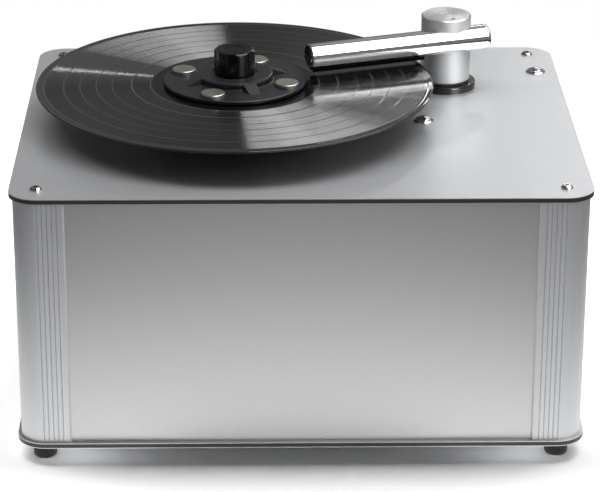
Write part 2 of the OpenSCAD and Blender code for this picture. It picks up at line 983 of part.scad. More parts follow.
module platter() {
    color(black)
        at_platter()
            difference() {
                union() {
                    translate([0, 0, platter_z]) rotate_extrude()
                        polygon([
                            [0, 0], [platter_d / 2 - platter_chamfer, 0],
                            [platter_d / 2, platter_chamfer],
                            [platter_d / 2, platter_t], [0, platter_t]
                        ]);
                    translate([0, 0, platter_low])
                        cylinder(d = platter_hub_d, h = platter_z - platter_low + cut);
                }
                translate([0, 0, platter_low - cut])
                    cylinder(d = shaft_d + 2 * fit, h = spindle_step - platter_low + cut + fit);
                translate([0, 0, spindle_step]) cylinder(d = pin_d + 2 * fit, h = platter_t);
                for (a = [0 : 90 : 359])
                    rotate(magnet_turn + a) translate([magnet_ring_r, 0, mat_z - magnet_pocket_t - fit])
                        cylinder(d = magnet_pocket_d + 2 * fit, h = magnet_pocket_t + cut);
            }
}

module platter_magnets() {
    color(steel)
        at_platter()
            for (a = [0 : 90 : 359])
                rotate(magnet_turn + a) translate([magnet_ring_r, 0, mat_z - magnet_pocket_t - fit / 2])
                    cylinder(d = magnet_pocket_d, h = magnet_pocket_t);
}

module platter_mat() {
    color(rubber) at_platter() ring(platter_d - 2 * mat_margin, pin_d + mat_margin, mat_z, mat_t);
}

module spindle() {
    color(steel)
        at_platter() {
            translate([0, 0, spindle_low]) cylinder(d = shaft_d, h = spindle_step - spindle_low);
            translate([0, 0, spindle_step]) cylinder(d = pin_d, h = pin_z - pin_point - spindle_step);
            translate([0, 0, pin_z - pin_point])
                cylinder(d1 = pin_d, d2 = pin_d - 2 * pin_point, h = pin_point);
        }
}

module record() {
    r = record_d / 2;
    dip = (record_t - groove_t) / 2;
    color("#0c0c0d")
        at_platter() translate([0, 0, record_low]) rotate_extrude($fn = 180)
            polygon([
                [record_hole_d / 2, 0], [label_d / 2, 0], [label_d / 2 + bead_slope, dip],
                [r - bead_w - bead_slope, dip], [r - bead_w, 0], [r - rim_round, 0],
                [r, record_t / 2], [r - rim_round, record_t], [r - bead_w, record_t],
                [r - bead_w - bead_slope, record_t - dip],
                [label_d / 2 + bead_slope, record_t - dip], [label_d / 2, record_t],
                [record_hole_d / 2, record_t]
            ]);
}

// Clamp

// A rib that slopes from the top of the hub down to the disc
module clamp_ramp() {
    hub_r = clamp_hub_d / 2;
    start = hub_r - ramp_root;
    rise = clamp_hub_h - 0.3;
    low = clamp_top - disc_edge;
    intersection() {
        translate([0, 0, clamp_top - cut]) linear_extrude(clamp_hub_h + 2 * cut)
            polygon([
                [start, -ramp_w / 2], [hub_r, -ramp_w / 2], [ramp_reach, -ramp_end_w / 2],
                [ramp_reach, ramp_end_w / 2], [hub_r, ramp_w / 2], [start, ramp_w / 2]
            ]);
        rotate([90, 0, 0]) translate([0, 0, -ramp_w]) linear_extrude(2 * ramp_w)
            polygon([
                [start, low], [ramp_reach, low], [ramp_reach, clamp_top],
                [hub_r, clamp_top + rise], [start, clamp_top + rise]
            ]);
    }
}

module clamp_disc() {
    r = clamp_d / 2;
    hub_r = clamp_hub_d / 2;
    high = clamp_t + clamp_hub_h;
    color(black)
        at_platter()
            difference() {
                union() {
                    translate([0, 0, clamp_z]) rotate_extrude($fn = 144)
                        polygon([
                            [0, 0], [r - disc_edge, 0], [r, disc_edge], [r, clamp_t - disc_edge],
                            [r - disc_edge, clamp_t], [hub_r + hub_foot, clamp_t],
                            [hub_r + 0.3 * hub_foot, clamp_t + 0.3 * hub_foot],
                            [hub_r, clamp_t + hub_foot], [hub_r, high - hub_round],
                            [hub_r - 0.3 * hub_round, high - 0.3 * hub_round],
                            [hub_r - hub_round, high], [0, high]
                        ]);
                    for (a = [0 : 90 : 359]) rotate(ramp_turn + a) clamp_ramp();
                }
                translate([0, 0, clamp_z - cut]) cylinder(d = pin_bore_d, h = high + 2 * cut);
                // seat of the seal
                ring(seal_d + 2 * fit, seal_bore_d - 2 * fit, clamp_z - cut, seal_depth + cut);
                // seats of the magnets
                for (a = [0 : 90 : 359])
                    rotate(magnet_turn + a) translate([magnet_ring_r, 0, magnet_low - fit])
                        cylinder(d = magnet_d + 2 * fit, h = magnet_t + cut);
                // seat of the knob
                translate([0, 0, knob_z - fit])
                    cylinder(d = knob_d + 2 * knob_foot_ring, h = knob_seat + cut);
                // screws into the knob
                for (a = [0 : 120 : 359]) rotate(a) translate([knob_screw_ring, 0, clamp_z - cut]) {
                    cylinder(d = knob_screw_d + clear, h = high + 2 * cut);
                    cylinder(d = knob_screw_head + clear, h = cut + seat + knob_screw_head_h + fit);
                }
            }
}

module clamp_seal() {
    color(rubber)
        at_platter()
            ring(seal_d, seal_bore_d, record_z + record_gap, seal_show + seal_depth - record_gap - fit);
}

module clamp_magnets() {
    color(steel)
        at_platter()
            for (a = [0 : 90 : 359])
                rotate(magnet_turn + a) translate([magnet_ring_r, 0, magnet_low]) {
                    cylinder(d = magnet_d, h = magnet_t - magnet_chamfer);
                    translate([0, 0, magnet_t - magnet_chamfer])
                        cylinder(d1 = magnet_d, d2 = magnet_d - 2 * magnet_chamfer, h = magnet_chamfer);
                }
}

module clamp_knob() {
    r = knob_d / 2;
    h = knob_top - knob_z;
    color(black)
        at_platter()
            difference() {
                translate([0, 0, knob_z]) rotate_extrude($fn = 96)
                    polygon([
                        [0, 0], [r - 0.6, 0], [r - 0.3, 0.8], [r, h - 2.2], [r - 0.4, h - 1],
                        [r - 1.4, h - 0.3], [r - 2.6, h], [knob_cap_d / 2 + 0.6, h - 0.3], [0, h - 0.3]
                    ]);
                for (i = [0 : knob_flutes - 1])
                    rotate((i + 0.5) * 360 / knob_flutes + flute_turn)
                        translate([r + flute_r - flute_cut, 0, knob_z + flute_low])
                            cylinder(r = flute_r, h = h);
                // seat of the cap
                translate([0, 0, knob_top - knob_cap_sink - knob_cap_t - fit])
                    cylinder(d = knob_cap_d + 2 * fit, h = knob_cap_t + 2 * cut);
                // blind bore over the pin
                translate([0, 0, knob_z - cut])
                    cylinder(d = pin_bore_d, h = pin_z - knob_z + cut + pin_end_gap);
                for (a = [0 : 120 : 359])
                    rotate(a) translate([knob_screw_ring, 0, knob_z - cut])
                        cylinder(d = knob_screw_d - tap + 2 * thread_gap, h = knob_screw_bite + 2 * cut);
            }
}

module knob_cap() {
    color(black)
        at_platter() translate([0, 0, knob_top - knob_cap_sink - knob_cap_t]) rotate_extrude()
            polygon([
                [0, 0], [knob_cap_d / 2, 0], [knob_cap_d / 2, knob_cap_t - 0.4],
                [knob_cap_d / 2 - 0.4, knob_cap_t], [0, knob_cap_t]
            ]);
}

module knob_screws() {
    color(steel)
        at_platter()
            for (a = [0 : 120 : 359]) rotate(a) translate([knob_screw_ring, 0, clamp_z + seat]) difference() {
                union() {
                    cylinder(d = knob_screw_head, h = knob_screw_head_h);
                    cylinder(d = knob_screw_d - tap, h = knob_z - clamp_z + knob_screw_bite);
                }
                hex_hole(knob_socket, -cut, cut + knob_screw_head_h / 2);
            }
}

// Arm guide

module guide_flange() {
    r = flange_d / 2;
    color(black)
        translate([pillar_x, pillar_y, 0])
            difference() {
                union() {
                    translate([0, 0, deck_z]) rotate_extrude($fn = 120)
                        polygon([
                            [0, 0], [r, 0], [r, flange_t - flange_round],
                            [r - 0.3 * flange_round, flange_t - 0.3 * flange_round],
                            [r - flange_round, flange_t], [0, flange_t]
                        ]);
                    translate([0, 0, barrel_low]) cylinder(d = barrel_d, h = deck_z - barrel_low + cut);
                }
                translate([0, 0, barrel_low - cut]) cylinder(d = guide_bore_d, h = deck_z);
                for (a = [0 : 120 : 359])
                    rotate(first_flange_screw + a) translate([flange_screw_ring, 0, 0]) {
                        translate([0, 0, deck_z - cut])
                            cylinder(d = flange_screw_d + 0.3, h = flange_t + 2 * cut);
                        translate([0, 0, deck_z + flange_t - flange_head_h - fit])
                            cylinder(d = flange_head_d + clear, h = flange_head_h + cut);
                    }
            }
}

module flange_screws() {
    color(bright)
        translate([pillar_x, pillar_y, 0])
            for (a = [0 : 120 : 359])
                rotate(first_flange_screw + a)
                    translate([flange_screw_ring, 0, deck_z + flange_t]) difference() {
                        union() {
                            translate([0, 0, -flange_head_h])
                                cylinder(d = flange_head_d, h = flange_head_h - fit);
                            translate([0, 0, -flange_screw_l])
                                cylinder(d = flange_screw_d - tap, h = flange_screw_l - flange_head_h / 2);
                        }
                        hex_hole(flange_socket, -flange_head_h * 2 / 3, flange_head_h);
                    }
}

// The cup that closes the guide: it seats the spring, seals the spigot and ends in a hose barb
module guide_cap() {
    color(black)
        translate([pillar_x, pillar_y, 0])
            difference() {
                union() {
                    translate([0, 0, cap_low])
                        cylinder(d = barrel_d + 2 * cap_wall, h = cap_floor + cap_lap);
                    translate([0, 0, cap_low - barb_l]) cylinder(d = barb_d, h = barb_l + cut);
                    for (k = [0 : 2])
                        translate([0, 0, cap_low - barb_l + barb_step * (k + 0.5)])
                            cylinder(d1 = barb_d, d2 = barb_d + barb_ridge, h = barb_step / 2);
                }
                translate([0, 0, barrel_low - eps]) cylinder(d = barrel_d + 2 * fit, h = cap_lap + cut);
                translate([0, 0, barrel_low - gland_depth])
                    cylinder(d = spigot_d + 2 * slide, h = gland_depth + cut);
                translate([0, 0, cap_low - barb_l - cut])
                    cylinder(d = barb_bore_d, h = barb_l + cap_floor + 2 * cut);
            }
}

// A round wire wound along Z, from centre height z0 to z1
module helix(mean_r, wire_r, z0, z1, turns, steps, sides) {
    count = round(turns * steps);
    points = [
        for (i = [0 : count])
            let (a = 360 * turns * i / count, z = z0 + (z1 - z0) * i / count)
            for (k = [0 : sides - 1])
                let (b = 360 * k / sides, r = mean_r + wire_r * cos(b))
                [r * cos(a), r * sin(a), z + wire_r * sin(b)]
    ];
    sheath = [
        for (i = [0 : count - 1])
            for (k = [0 : sides - 1])
                let (p = i * sides + k, q = i * sides + (k + 1) % sides)
                [p, p + sides, q + sides, q]
    ];
    ends = [
        [for (k = [0 : sides - 1]) k],
        [for (k = [sides - 1 : -1 : 0]) count * sides + k]
    ];
    polyhedron(points, concat(sheath, ends), convexity = 8);
}

module lift_spring() {
    wire_r = spring_wire / 2;
    color(steel)
        translate([pillar_x, pillar_y, 0])
            helix((guide_bore_d + ring_d) / 4, wire_r, barrel_low + wire_r + fit,
                  sleeve_low - wire_r - fit, spring_turns, 12, 6);
}

module lift_sleeve() {
    color(black)
        translate([pillar_x, pillar_y, 0])
            ring(sleeve_d, sleeve_bore_d, sleeve_low, pillar_z - sleeve_gap - sleeve_low);
}

// Suction arm

module arm_pillar() {
    r = pillar_d / 2;
    high = pillar_rise - pillar_gap;
    color(bright)
        at_pillar()
            difference() {
                union() {
                    translate([0, 0, pillar_z]) rotate_extrude($fn = 120)
                        polygon([
                            [0, 0], [r - pillar_foot_edge, 0], [r, pillar_foot_edge],
                            [r, high - pillar_edge], [r - pillar_edge, high], [0, high]
                        ]);
                    translate([0, 0, spigot_low]) cylinder(d = spigot_d, h = pillar_z - spigot_low + cut);
                }
                // saddle of the tube
                translate([-r - cut, -tube_offset, tube_z]) rotate([0, 90, 0])
                    cylinder(r = tube_r + eps, h = 2 * r + 2 * cut);
                // suction duct
                translate([0, 0, spigot_low - cut]) cylinder(d = duct_d, h = tube_z - spigot_low + cut);
                // hole of the clamping screw
                translate([0, -tube_offset, tube_z])
                    cylinder(d = arm_screw_d + 2 * fit, h = pillar_top - tube_z + cut);
                // groove of the retaining ring
                ring(spigot_d + 2 * cut, spigot_d - 2 * ring_depth, ring_low, ring_t);
            }
}

module retaining_ring() {
    color(steel)
        at_pillar()
            ring(ring_d, spigot_d - 2 * ring_depth + 2 * fit, ring_low + fit, ring_t - 2 * fit);
}

module arm_tube() {
    tube_l = arm_reach + arm_tail;
    color(bright)
        at_pillar()
            difference() {
                translate([-arm_reach, -tube_offset, tube_z]) rotate([0, 90, 0]) difference() {
                    cylinder(r = tube_r, h = tube_l);
                    translate([0, 0, -cut]) cylinder(r = tube_r - tube_wall, h = tube_l + 2 * cut);
                }
                // suction slot underneath
                translate([-arm_reach + slot_start, -tube_offset - suction_w / 2, tube_z - tube_r - cut])
                    cube([slot_end - slot_start, suction_w, tube_wall + 2 * cut]);
                // opening into the pillar's duct
                translate([0, 0, tube_z - tube_r]) cylinder(d = duct_d - duct_step, h = tube_r);
            }
}

module tube_caps() {
    r = tube_r - tube_wall - fit;
    color(black)
        at_pillar()
            for (x = [-arm_reach + tube_cap_sink, arm_tail - tube_cap_sink - tube_cap_t])
                translate([x, -tube_offset, tube_z]) rotate([0, 90, 0]) cylinder(r = r, h = tube_cap_t);
}

// The two strips that touch the record, cut to the round of the tube
module velvet_strips() {
    color(black)
        at_pillar()
            difference() {
                for (s = [-1, 1])
                    translate([-arm_reach + strip_start, -tube_offset + s * strip_mid - strip_w / 2,
                               tube_z - tube_r - strip_t])
                        cube([strip_end - strip_start, strip_w, strip_t + strip_sink]);
                translate([-arm_reach - cut, -tube_offset, tube_z]) rotate([0, 90, 0])
                    cylinder(r = tube_r + eps, h = arm_reach + 2 * cut);
            }
}

module arm_screw() {
    color(bright)
        at_pillar()
            translate([0, -tube_offset, 0]) difference() {
                translate([0, 0, tube_z + tube_r + fit])
                    cylinder(d = arm_screw_d, h = pillar_top - arm_screw_sink - tube_z - tube_r - fit);
                hex_hole(arm_socket, pillar_top - arm_screw_sink - arm_socket, 2 * arm_socket);
            }
}

// Suction unit

module fluid_tank() {
    color(nylon)
        difference() {
            translate([tank_x, tank_y, floor_z]) cube([tank_w, tank_d, tank_h]);
            translate([tank_x + tank_wall, tank_y + tank_wall, floor_z + tank_wall])
                cube([tank_w - 2 * tank_wall, tank_d - 2 * tank_wall, tank_h]);
            translate([drain_x, tank_y + tank_d + cut, drain_z])
                rotate([90, 0, 0]) cylinder(d = drain_bore_d, h = tank_wall + 2 * cut);
        }
}

module tank_lid() {
    color(nylon)
        difference() {
            union() {
                translate([tank_x, tank_y, lid_z]) cube([tank_w, tank_d, lid_t]);
                translate([pillar_x, pillar_y, lid_z]) cylinder(d = barb_d, h = lid_t + lid_barb_h);
            }
            translate([pillar_x, pillar_y, lid_z - cut])
                cylinder(d = barb_bore_d, h = lid_t + lid_barb_h + 2 * cut);
            translate([turbine_x, turbine_y, lid_z - cut]) cylinder(d = inlet_eye_d, h = lid_t + 2 * cut);
        }
}

module suction_hose() {
    low = lid_z + lid_t + seat;
    bore = barb_d + barb_ridge + 2 * slide;
    color(rubber)
        translate([pillar_x, pillar_y, 0]) ring(bore + 2 * hose_wall, bore, low, cap_low - seat - low);
}

module vacuum_motor() {
    color(black)
        difference() {
            union() {
                at_turbine() {
                    translate([0, 0, turbine_z]) cylinder(d = turbine_d, h = turbine_h);
                    translate([0, 0, turbine_motor_z - cut])
                        cylinder(d = turbine_motor_d, h = turbine_motor_h + cut);
                }
                // exhaust stub towards the rear panel
                translate([turbine_x - exhaust_w / 2, turbine_y, grille_z - exhaust_h / 2])
                    cube([exhaust_w, rear_in - panel_gap - turbine_y, exhaust_h]);
            }
            at_turbine() {
                translate([0, 0, turbine_z + turbine_wall])
                    cylinder(d = turbine_d - 2 * turbine_wall, h = turbine_h - 2 * turbine_wall);
                translate([0, 0, turbine_z - cut]) cylinder(d = inlet_eye_d, h = turbine_wall + 2 * cut);
                translate([0, 0, turbine_z + turbine_wall])
                    cylinder(d = impeller_shaft_d + 2 * run, h = turbine_h + impeller_shaft_in);
            }
            translate([turbine_x - exhaust_w / 2 + exhaust_wall, turbine_y + turbine_d / 4,
                       grille_z - exhaust_h / 2 + exhaust_wall])
                cube([exhaust_w - 2 * exhaust_wall, rear_in - turbine_y, exhaust_h - 2 * exhaust_wall]);
        }
}

module impeller() {
    blade_start = impeller_hub_d / 2 - cut;
    color(steel)
        at_turbine() {
            translate([0, 0, impeller_z + impeller_t - impeller_plate])
                cylinder(d = impeller_d, h = impeller_plate);
            translate([0, 0, impeller_z]) cylinder(d = impeller_hub_d, h = impeller_t);
            translate([0, 0, impeller_z]) cylinder(d = impeller_shaft_d, h = turbine_h);
            for (i = [0 : blades - 1])
                rotate(i * 360 / blades) translate([blade_start, -blade_t / 2, impeller_z + cut])
                    cube([impeller_d / 2 - blade_start - cut, blade_t, impeller_t - 2 * cut]);
        }
}

// Rear fittings

module exhaust_grille() {
    pitch = grille_open_h / grille_slots;
    slot_h = pitch / 2;
    color(black)
        translate([grille_x, face_y, grille_z])
            difference() {
                translate([-grille_w / 2, 0, -grille_h / 2]) cube([grille_w, grille_t, grille_h]);
                for (i = [0 : grille_slots - 1])
                    translate([-grille_open_w / 2, -cut,
                               (i - (grille_slots - 1) / 2) * pitch - slot_h / 2])
                        cube([grille_open_w, grille_t + 2 * cut, slot_h]);
            }
}

module mains_inlet() {
    color(black)
        difference() {
            union() {
                translate([inlet_x, face_y + inlet_t / 2, inlet_z])
                    cube([inlet_w, inlet_t, inlet_h], center = true);
                translate([inlet_x - inlet_body_w / 2, face_y - inlet_body_d, inlet_z - inlet_body_h / 2])
                    cube([inlet_body_w, inlet_body_d + cut, inlet_body_h]);
            }
            // socket, with its three pins left standing
            translate([inlet_x, inlet_face - socket_deep, socket_z]) difference() {
                translate([-socket_w / 2, 0, -socket_h / 2]) cube([socket_w, socket_deep + cut, socket_h]);
                for (at = contacts)
                    translate([at[0] - contact_w / 2, -cut, at[1] - contact_h / 2])
                        cube([contact_w, socket_deep - 2 * cut, contact_h]);
            }
            // fuse drawer
            translate([inlet_x - fuse_w / 2 - slide, inlet_face - fuse_deep - slide,
                       fuse_z - fuse_h / 2 - slide])
                cube([fuse_w + 2 * slide, fuse_deep + 2 * cut, fuse_h + 2 * slide]);
            // switch well
            translate([inlet_x - rocker_w / 2 - seat, inlet_face - rocker_deep,
                       rocker_z - rocker_h / 2 - rocker_end_gap])
                cube([rocker_w + 2 * seat, rocker_deep + cut, rocker_h + 2 * rocker_end_gap]);
        }
}

// The rocker turns about a line across X inside its well
module power_rocker() {
    half = rocker_h / 2 - 0.8;
    color("#2a2a2c")
        translate([inlet_x, inlet_face - rocker_axis, rocker_z]) rotate([rocker_tilt, 0, 0])
            translate([-rocker_w / 2, 0, 0]) rotate([90, 0, 90]) linear_extrude(rocker_w)
                polygon([
                    [-4, -3.5], [-4, 3.5], [4.2, half], [6.4, half - 0.6], [5.4, 0],
                    [6.4, -half + 0.6], [4.2, -half]
                ]);
}

module fuse_drawer() {
    color("#2a2a2c")
        translate([inlet_x, inlet_face, fuse_z]) difference() {
            translate([-fuse_w / 2, -fuse_deep, -fuse_h / 2]) cube([fuse_w, fuse_deep + fuse_lip, fuse_h]);
            translate([-fuse_w / 2 + fuse_wall, -fuse_deep + fuse_wall, -fuse_h / 2 + fuse_wall])
                cube([fuse_w - 2 * fuse_wall, fuse_deep - 2 * fuse_wall, fuse_h]);
        }
}

module drain_port() {
    color(black)
        difference() {
            union() {
                translate([drain_x, drain_face, drain_z]) rotate([90, 0, 0])
                    cylinder(d = drain_d, h = drain_face - tank_y - tank_d);
                translate([drain_x, drain_face, drain_z]) rotate([90, 0, 0])
                    cylinder(d = plug_d, h = drain_flange);
            }
            translate([drain_x, drain_face + cut, drain_z])
                rotate([90, 0, 0]) cylinder(d = drain_bore_d, h = drain_bore_l);
        }
}

module drain_plug() {
    head_d = plug_d - 2;
    color("#2a2a2c")
        translate([drain_x, drain_face + plug_gap, drain_z]) rotate([-90, 0, 0]) {
            difference() {
                cylinder(d = head_d, h = plug_head);
                for (i = [0 : plug_grips - 1])
                    rotate(i * 360 / plug_grips) translate([head_d / 2 + 0.4, 0, -cut])
                        cylinder(r = 1, h = plug_head + 2 * cut);
            }
            translate([0, 0, -plug_l]) cylinder(d = drain_bore_d - 2 * slide, h = plug_l + cut);
        }
}

// Push buttons

module button_bezels() {
    color(bright)
        for (at = [drive_button_at, suction_button_at]) translate([at[0], at[1], 0]) difference() {
            union() {
                translate([0, 0, deck_z]) rotate_extrude()
                    polygon([
                        [0, 0], [bezel_d / 2, 0], [bezel_d / 2, bezel_edge],
                        [bezel_d / 2 - bezel_slope, bezel_h], [0, bezel_h]
                    ]);
                translate([0, 0, roof_z - button_body_l])
                    cylinder(d = button_body_d, h = button_body_l + plate_t + bezel_edge);
                translate([0, 0, roof_z - button_nut_t])
                    cylinder(d = button_nut_d, h = button_nut_t, $fn = 6);
            }
            translate([0, 0, deck_z + bezel_h - button_well])
                cylinder(d = button_d + 2 * slide, h = button_well + cut);
        }
}

// A domed cap, with its stem in the bezel's well
module button_cap(at) {
    edge_r = button_d / 2;
    dome_h = button_rise - button_skirt;
    dome_r = (edge_r * edge_r + dome_h * dome_h) / (2 * dome_h);
    stem = button_well - button_travel - button_end_gap;
    color(bright)
        translate([at[0], at[1], deck_z + bezel_h]) {
            translate([0, 0, -stem]) cylinder(d = button_d, h = stem + button_skirt);
            intersection() {
                translate([0, 0, button_rise - dome_r]) sphere(dome_r, $fn = 96);
                translate([0, 0, button_skirt - eps]) cylinder(d = button_d, h = button_rise);
            }
        }
}

module drive_button() { button_cap(drive_button_at); }

module suction_button() { button_cap(suction_button_at); }

// Power board on its feet
module power_board() {
    color("#2f6b3a")
        translate([board_x, board_y, floor_z]) {
            translate([-board_w / 2, -board_d / 2, board_rise]) cube([board_w, board_d, board_t]);
            at_corners(board_w / 2 - board_post_in, board_d / 2 - board_post_in)
                cylinder(d = board_post_d, h = board_rise + board_t / 2);
            translate([-transformer_w / 2, transformer_shift - transformer_d / 2, board_rise + board_t / 2])
                cube([transformer_w, transformer_d, transformer_h]);
            for (k = [-1 : 1])
                translate([1.5 * capacitor_d * k, 4 * board_post_in - board_d / 2, board_rise + board_t / 2])
                    cylinder(d = capacitor_d, h = capacitor_h);
        }
}

base_core();
base_skins();
top_core();
top_skins();
profile_fl();
profile_fr();
profile_bl();
profile_br();
front_panel();
rear_panel();
left_panel();
right_panel();
feet();
foot_screws();
top_screws();
spindle_bushes();
motor_plate();
motor_standoffs();
motor_screws();
gearbox();
motor_can();
platter();
platter_mat();
platter_magnets();
spindle();
drive_gear();
record();
clamp_disc();
clamp_seal();
clamp_magnets();
clamp_knob();
knob_cap();
knob_screws();
motor_pinion();
guide_flange();
flange_screws();
guide_cap();
lift_spring();
lift_sleeve();
arm_pillar();
retaining_ring();
arm_tube();
tube_caps();
velvet_strips();
arm_screw();
fluid_tank();
tank_lid();
suction_hose();
vacuum_motor();
impeller();
exhaust_grille();
mains_inlet();
power_rocker();
fuse_drawer();
drain_port();
drain_plug();
button_bezels();
drive_button();
suction_button();
power_board();
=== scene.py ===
import json
import math

import bmesh
import bpy
from mathutils import Matrix, Vector


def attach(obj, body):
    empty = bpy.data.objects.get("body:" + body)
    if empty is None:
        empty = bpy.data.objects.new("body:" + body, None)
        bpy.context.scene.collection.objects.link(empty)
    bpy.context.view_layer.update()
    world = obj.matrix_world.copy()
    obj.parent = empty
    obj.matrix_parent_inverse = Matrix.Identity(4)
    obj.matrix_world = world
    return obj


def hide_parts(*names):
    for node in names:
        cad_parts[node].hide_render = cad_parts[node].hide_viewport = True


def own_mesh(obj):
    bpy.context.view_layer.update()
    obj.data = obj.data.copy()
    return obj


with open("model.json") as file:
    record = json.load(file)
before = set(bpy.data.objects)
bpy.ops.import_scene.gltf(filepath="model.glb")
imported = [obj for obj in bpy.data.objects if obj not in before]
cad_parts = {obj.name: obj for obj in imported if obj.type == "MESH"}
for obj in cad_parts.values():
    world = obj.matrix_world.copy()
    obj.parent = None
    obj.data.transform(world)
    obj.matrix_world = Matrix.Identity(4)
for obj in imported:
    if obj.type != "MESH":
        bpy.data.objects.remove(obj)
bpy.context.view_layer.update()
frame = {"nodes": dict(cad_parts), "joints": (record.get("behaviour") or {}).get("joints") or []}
nodes = frame["nodes"]
mm = 0.001


def jointAxis(name):  # where a joint's upright axis stands, in millimetres
    place = next(joint["pos_m"] for joint in frame["joints"] if joint["name"] == name)
    return tuple(round(c / mm, 3) for c in place[:2])


platterAxis = jointAxis("platter_spin")
armAxis = jointAxis("arm_swing")
turbineAxis = jointAxis("turbine_spin")
armAngle = 19.1  # degrees that the tube is turned from X
tubeOffset = 12.6  # from the pillar's axis to the tube's, in millimetres
tubeHeight = 249.2


def srgb(text):  # "#rrggbb" to linear colour with alpha
    parts = [int(text[i:i + 2], 16) / 255 for i in (1, 3, 5)]
    return tuple(c / 12.92 if c <= 0.04045 else ((c + 0.055) / 1.055) ** 2.4 for c in parts) + (1.0,)


def addNode(tree, kind, inputs, out=0, stops=(), blend="LINEAR", **settings):
    # Inputs go by name or in order, and each is a value or another node's output. Stops are for a ramp.
    node = tree.nodes.new("ShaderNode" + kind)
    for key, value in settings.items():
        setattr(node, key, value)
    for key, value in inputs.items() if isinstance(inputs, dict) else enumerate(inputs):
        if isinstance(value, bpy.types.NodeSocket):
            tree.links.new(value, node.inputs[key])
        else:
            node.inputs[key].default_value = value
    if stops:
        node.color_ramp.interpolation = blend
        points = node.color_ramp.elements
        while len(points) < len(stops):
            points.new(0.5)
        for point, (place, colour) in zip(points, sorted(stops)):
            point.position = place
            point.color = srgb(colour) if isinstance(colour, str) else (colour, colour, colour, 1)
    return node.outputs[out] if len(node.outputs) else None


def newMaterial(name):
    material = bpy.data.materials.new(name)
    material.use_nodes = True
    tree = material.node_tree
    tree.nodes.clear()
    return material, tree


def finishMaterial(tree, inputs, shader="BsdfPrincipled"):  # the last shader and the output
    addNode(tree, "OutputMaterial", [addNode(tree, shader, inputs)])


def placeAt(tree, axis=(0, 0), size=(1000, 1000, 1000)):
    # Object coordinates round an upright axis. The axis and the size of one unit are in millimetres.
    return addNode(tree, "Mapping", {"Vector": addNode(tree, "TexCoord", {}, "Object"),
                                     "Location": (axis[0] * mm, axis[1] * mm, 0),
                                     "Scale": [s * mm for s in size]}, vector_type="TEXTURE")


def clouds(tree, size, detail=3.0, rough=0.55):  # soft noise; a size in millimetres, or one for X, Y and Z
    sizes = size if isinstance(size, tuple) else (size,) * 3
    return addNode(tree, "TexNoise", {"Vector": placeAt(tree, size=sizes), "Scale": 1.0, "Detail": detail,
                                      "Roughness": rough}, "Fac")


def tint(tree, base, pattern, stops):  # a base colour, darker where the pattern is low
    shade = addNode(tree, "ValToRGB", [pattern], stops=stops)
    return addNode(tree, "Mix", {0: 1.0, 6: base, 7: shade}, 2, data_type="RGBA", blend_type="MULTIPLY")


def flatten(tree, vector):  # the level part of a vector
    return addNode(tree, "VectorMath", [vector, (1, 1, 0)], operation="MULTIPLY")


def radiusFrom(tree, vector):  # distance from the axis, in metres
    return addNode(tree, "VectorMath", [flatten(tree, vector)], "Value", operation="LENGTH")


def toWorld(tree, vector):  # a direction of the piece itself, turned as the piece is
    return addNode(tree, "VectorTransform", [vector], vector_type="VECTOR", convert_from="OBJECT",
                   convert_to="WORLD")


def fixedTangent(tree, direction):  # the same all over, for brushed and extruded faces
    return toWorld(tree, addNode(tree, "CombineXYZ", direction))


def radialTangent(tree, axis):  # points away from the axis, for grooved and turned faces
    return toWorld(tree, flatten(tree, placeAt(tree, axis)))


# Shaping helpers: a piece is modelled round the origin and then put in place.


def startPiece(add, name, **values):
    bpy.ops.object.select_all(action="DESELECT")
    add(**values)
    piece = bpy.context.object
    piece.name = piece.data.name = name
    return piece


def turnProfile(name, points, steps, closed=True):  # (radius, height) points in millimetres, spun round Z
    piece = startPiece(bpy.ops.mesh.primitive_plane_add, name, size=mm, location=(0, 0, 0))
    bpy.ops.object.mode_set(mode="EDIT")
    bpy.ops.mesh.select_all(action="SELECT")
    bpy.ops.mesh.merge(type="CENTER")
    bpy.ops.transform.translate(value=(points[0][0] * mm, 0, points[0][1] * mm))
    path = list(points) + ([points[0]] if closed else [])
    for (r0, z0), (r1, z1) in zip(path, path[1:]):
        step = ((r1 - r0) * mm, 0, (z1 - z0) * mm)
        bpy.ops.mesh.extrude_region_move(TRANSFORM_OT_translate={"value": step})
    bpy.ops.mesh.select_all(action="SELECT")
    bpy.ops.mesh.remove_doubles(threshold=1e-7)
    bpy.ops.mesh.spin(steps=steps, angle=2 * math.pi, center=(0, 0, 0), axis=(0, 0, 1))
    bpy.ops.mesh.select_all(action="SELECT")
    bpy.ops.mesh.remove_doubles(threshold=1e-6)
    bpy.ops.mesh.normals_make_consistent(inside=False)
    bpy.ops.object.mode_set(mode="OBJECT")
    return piece


def onlySelect(piece):
    bpy.ops.object.select_all(action="DESELECT")
    piece.select_set(True)
    bpy.context.view_layer.objects.active = piece


def settle(piece, place=(0, 0, 0), turn=(0, 0, 0), smooth=30):  # moves its vertices, not its object
    onlySelect(piece)
    piece.location = [c * mm for c in place]
    piece.rotation_euler = [math.radians(t) for t in turn]
    bpy.ops.object.transform_apply(location=True, rotation=True, scale=True)
    bpy.ops.object.shade_smooth_by_angle(angle=math.radians(smooth))


def cutAway(piece, cutter):
    onlySelect(piece)
    cut = piece.modifiers.new("cut", "BOOLEAN")
    cut.operation, cut.object, cut.solver = "DIFFERENCE", cutter, "EXACT"
    bpy.ops.object.modifier_apply(modifier="cut")
    bpy.data.objects.remove(cutter)


def drill(piece, radius, depth, middle, across=False, sides=64):  # a round hole along Z, or along X
    drillBit = startPiece(bpy.ops.mesh.primitive_cylinder_add, "drillBit", vertices=sides, radius=radius * mm,
                          depth=depth * mm, location=[c * mm for c in middle],
                          rotation=(0, math.pi / 2 if across else 0, 0))
    cutAway(piece, drillBit)


def joinPieces(pieces, name):
    onlySelect(pieces[0])
    for piece in pieces[1:]:
        piece.select_set(True)
    bpy.ops.object.join()
    joined = bpy.context.object
    joined.name = joined.data.name = name
    return joined


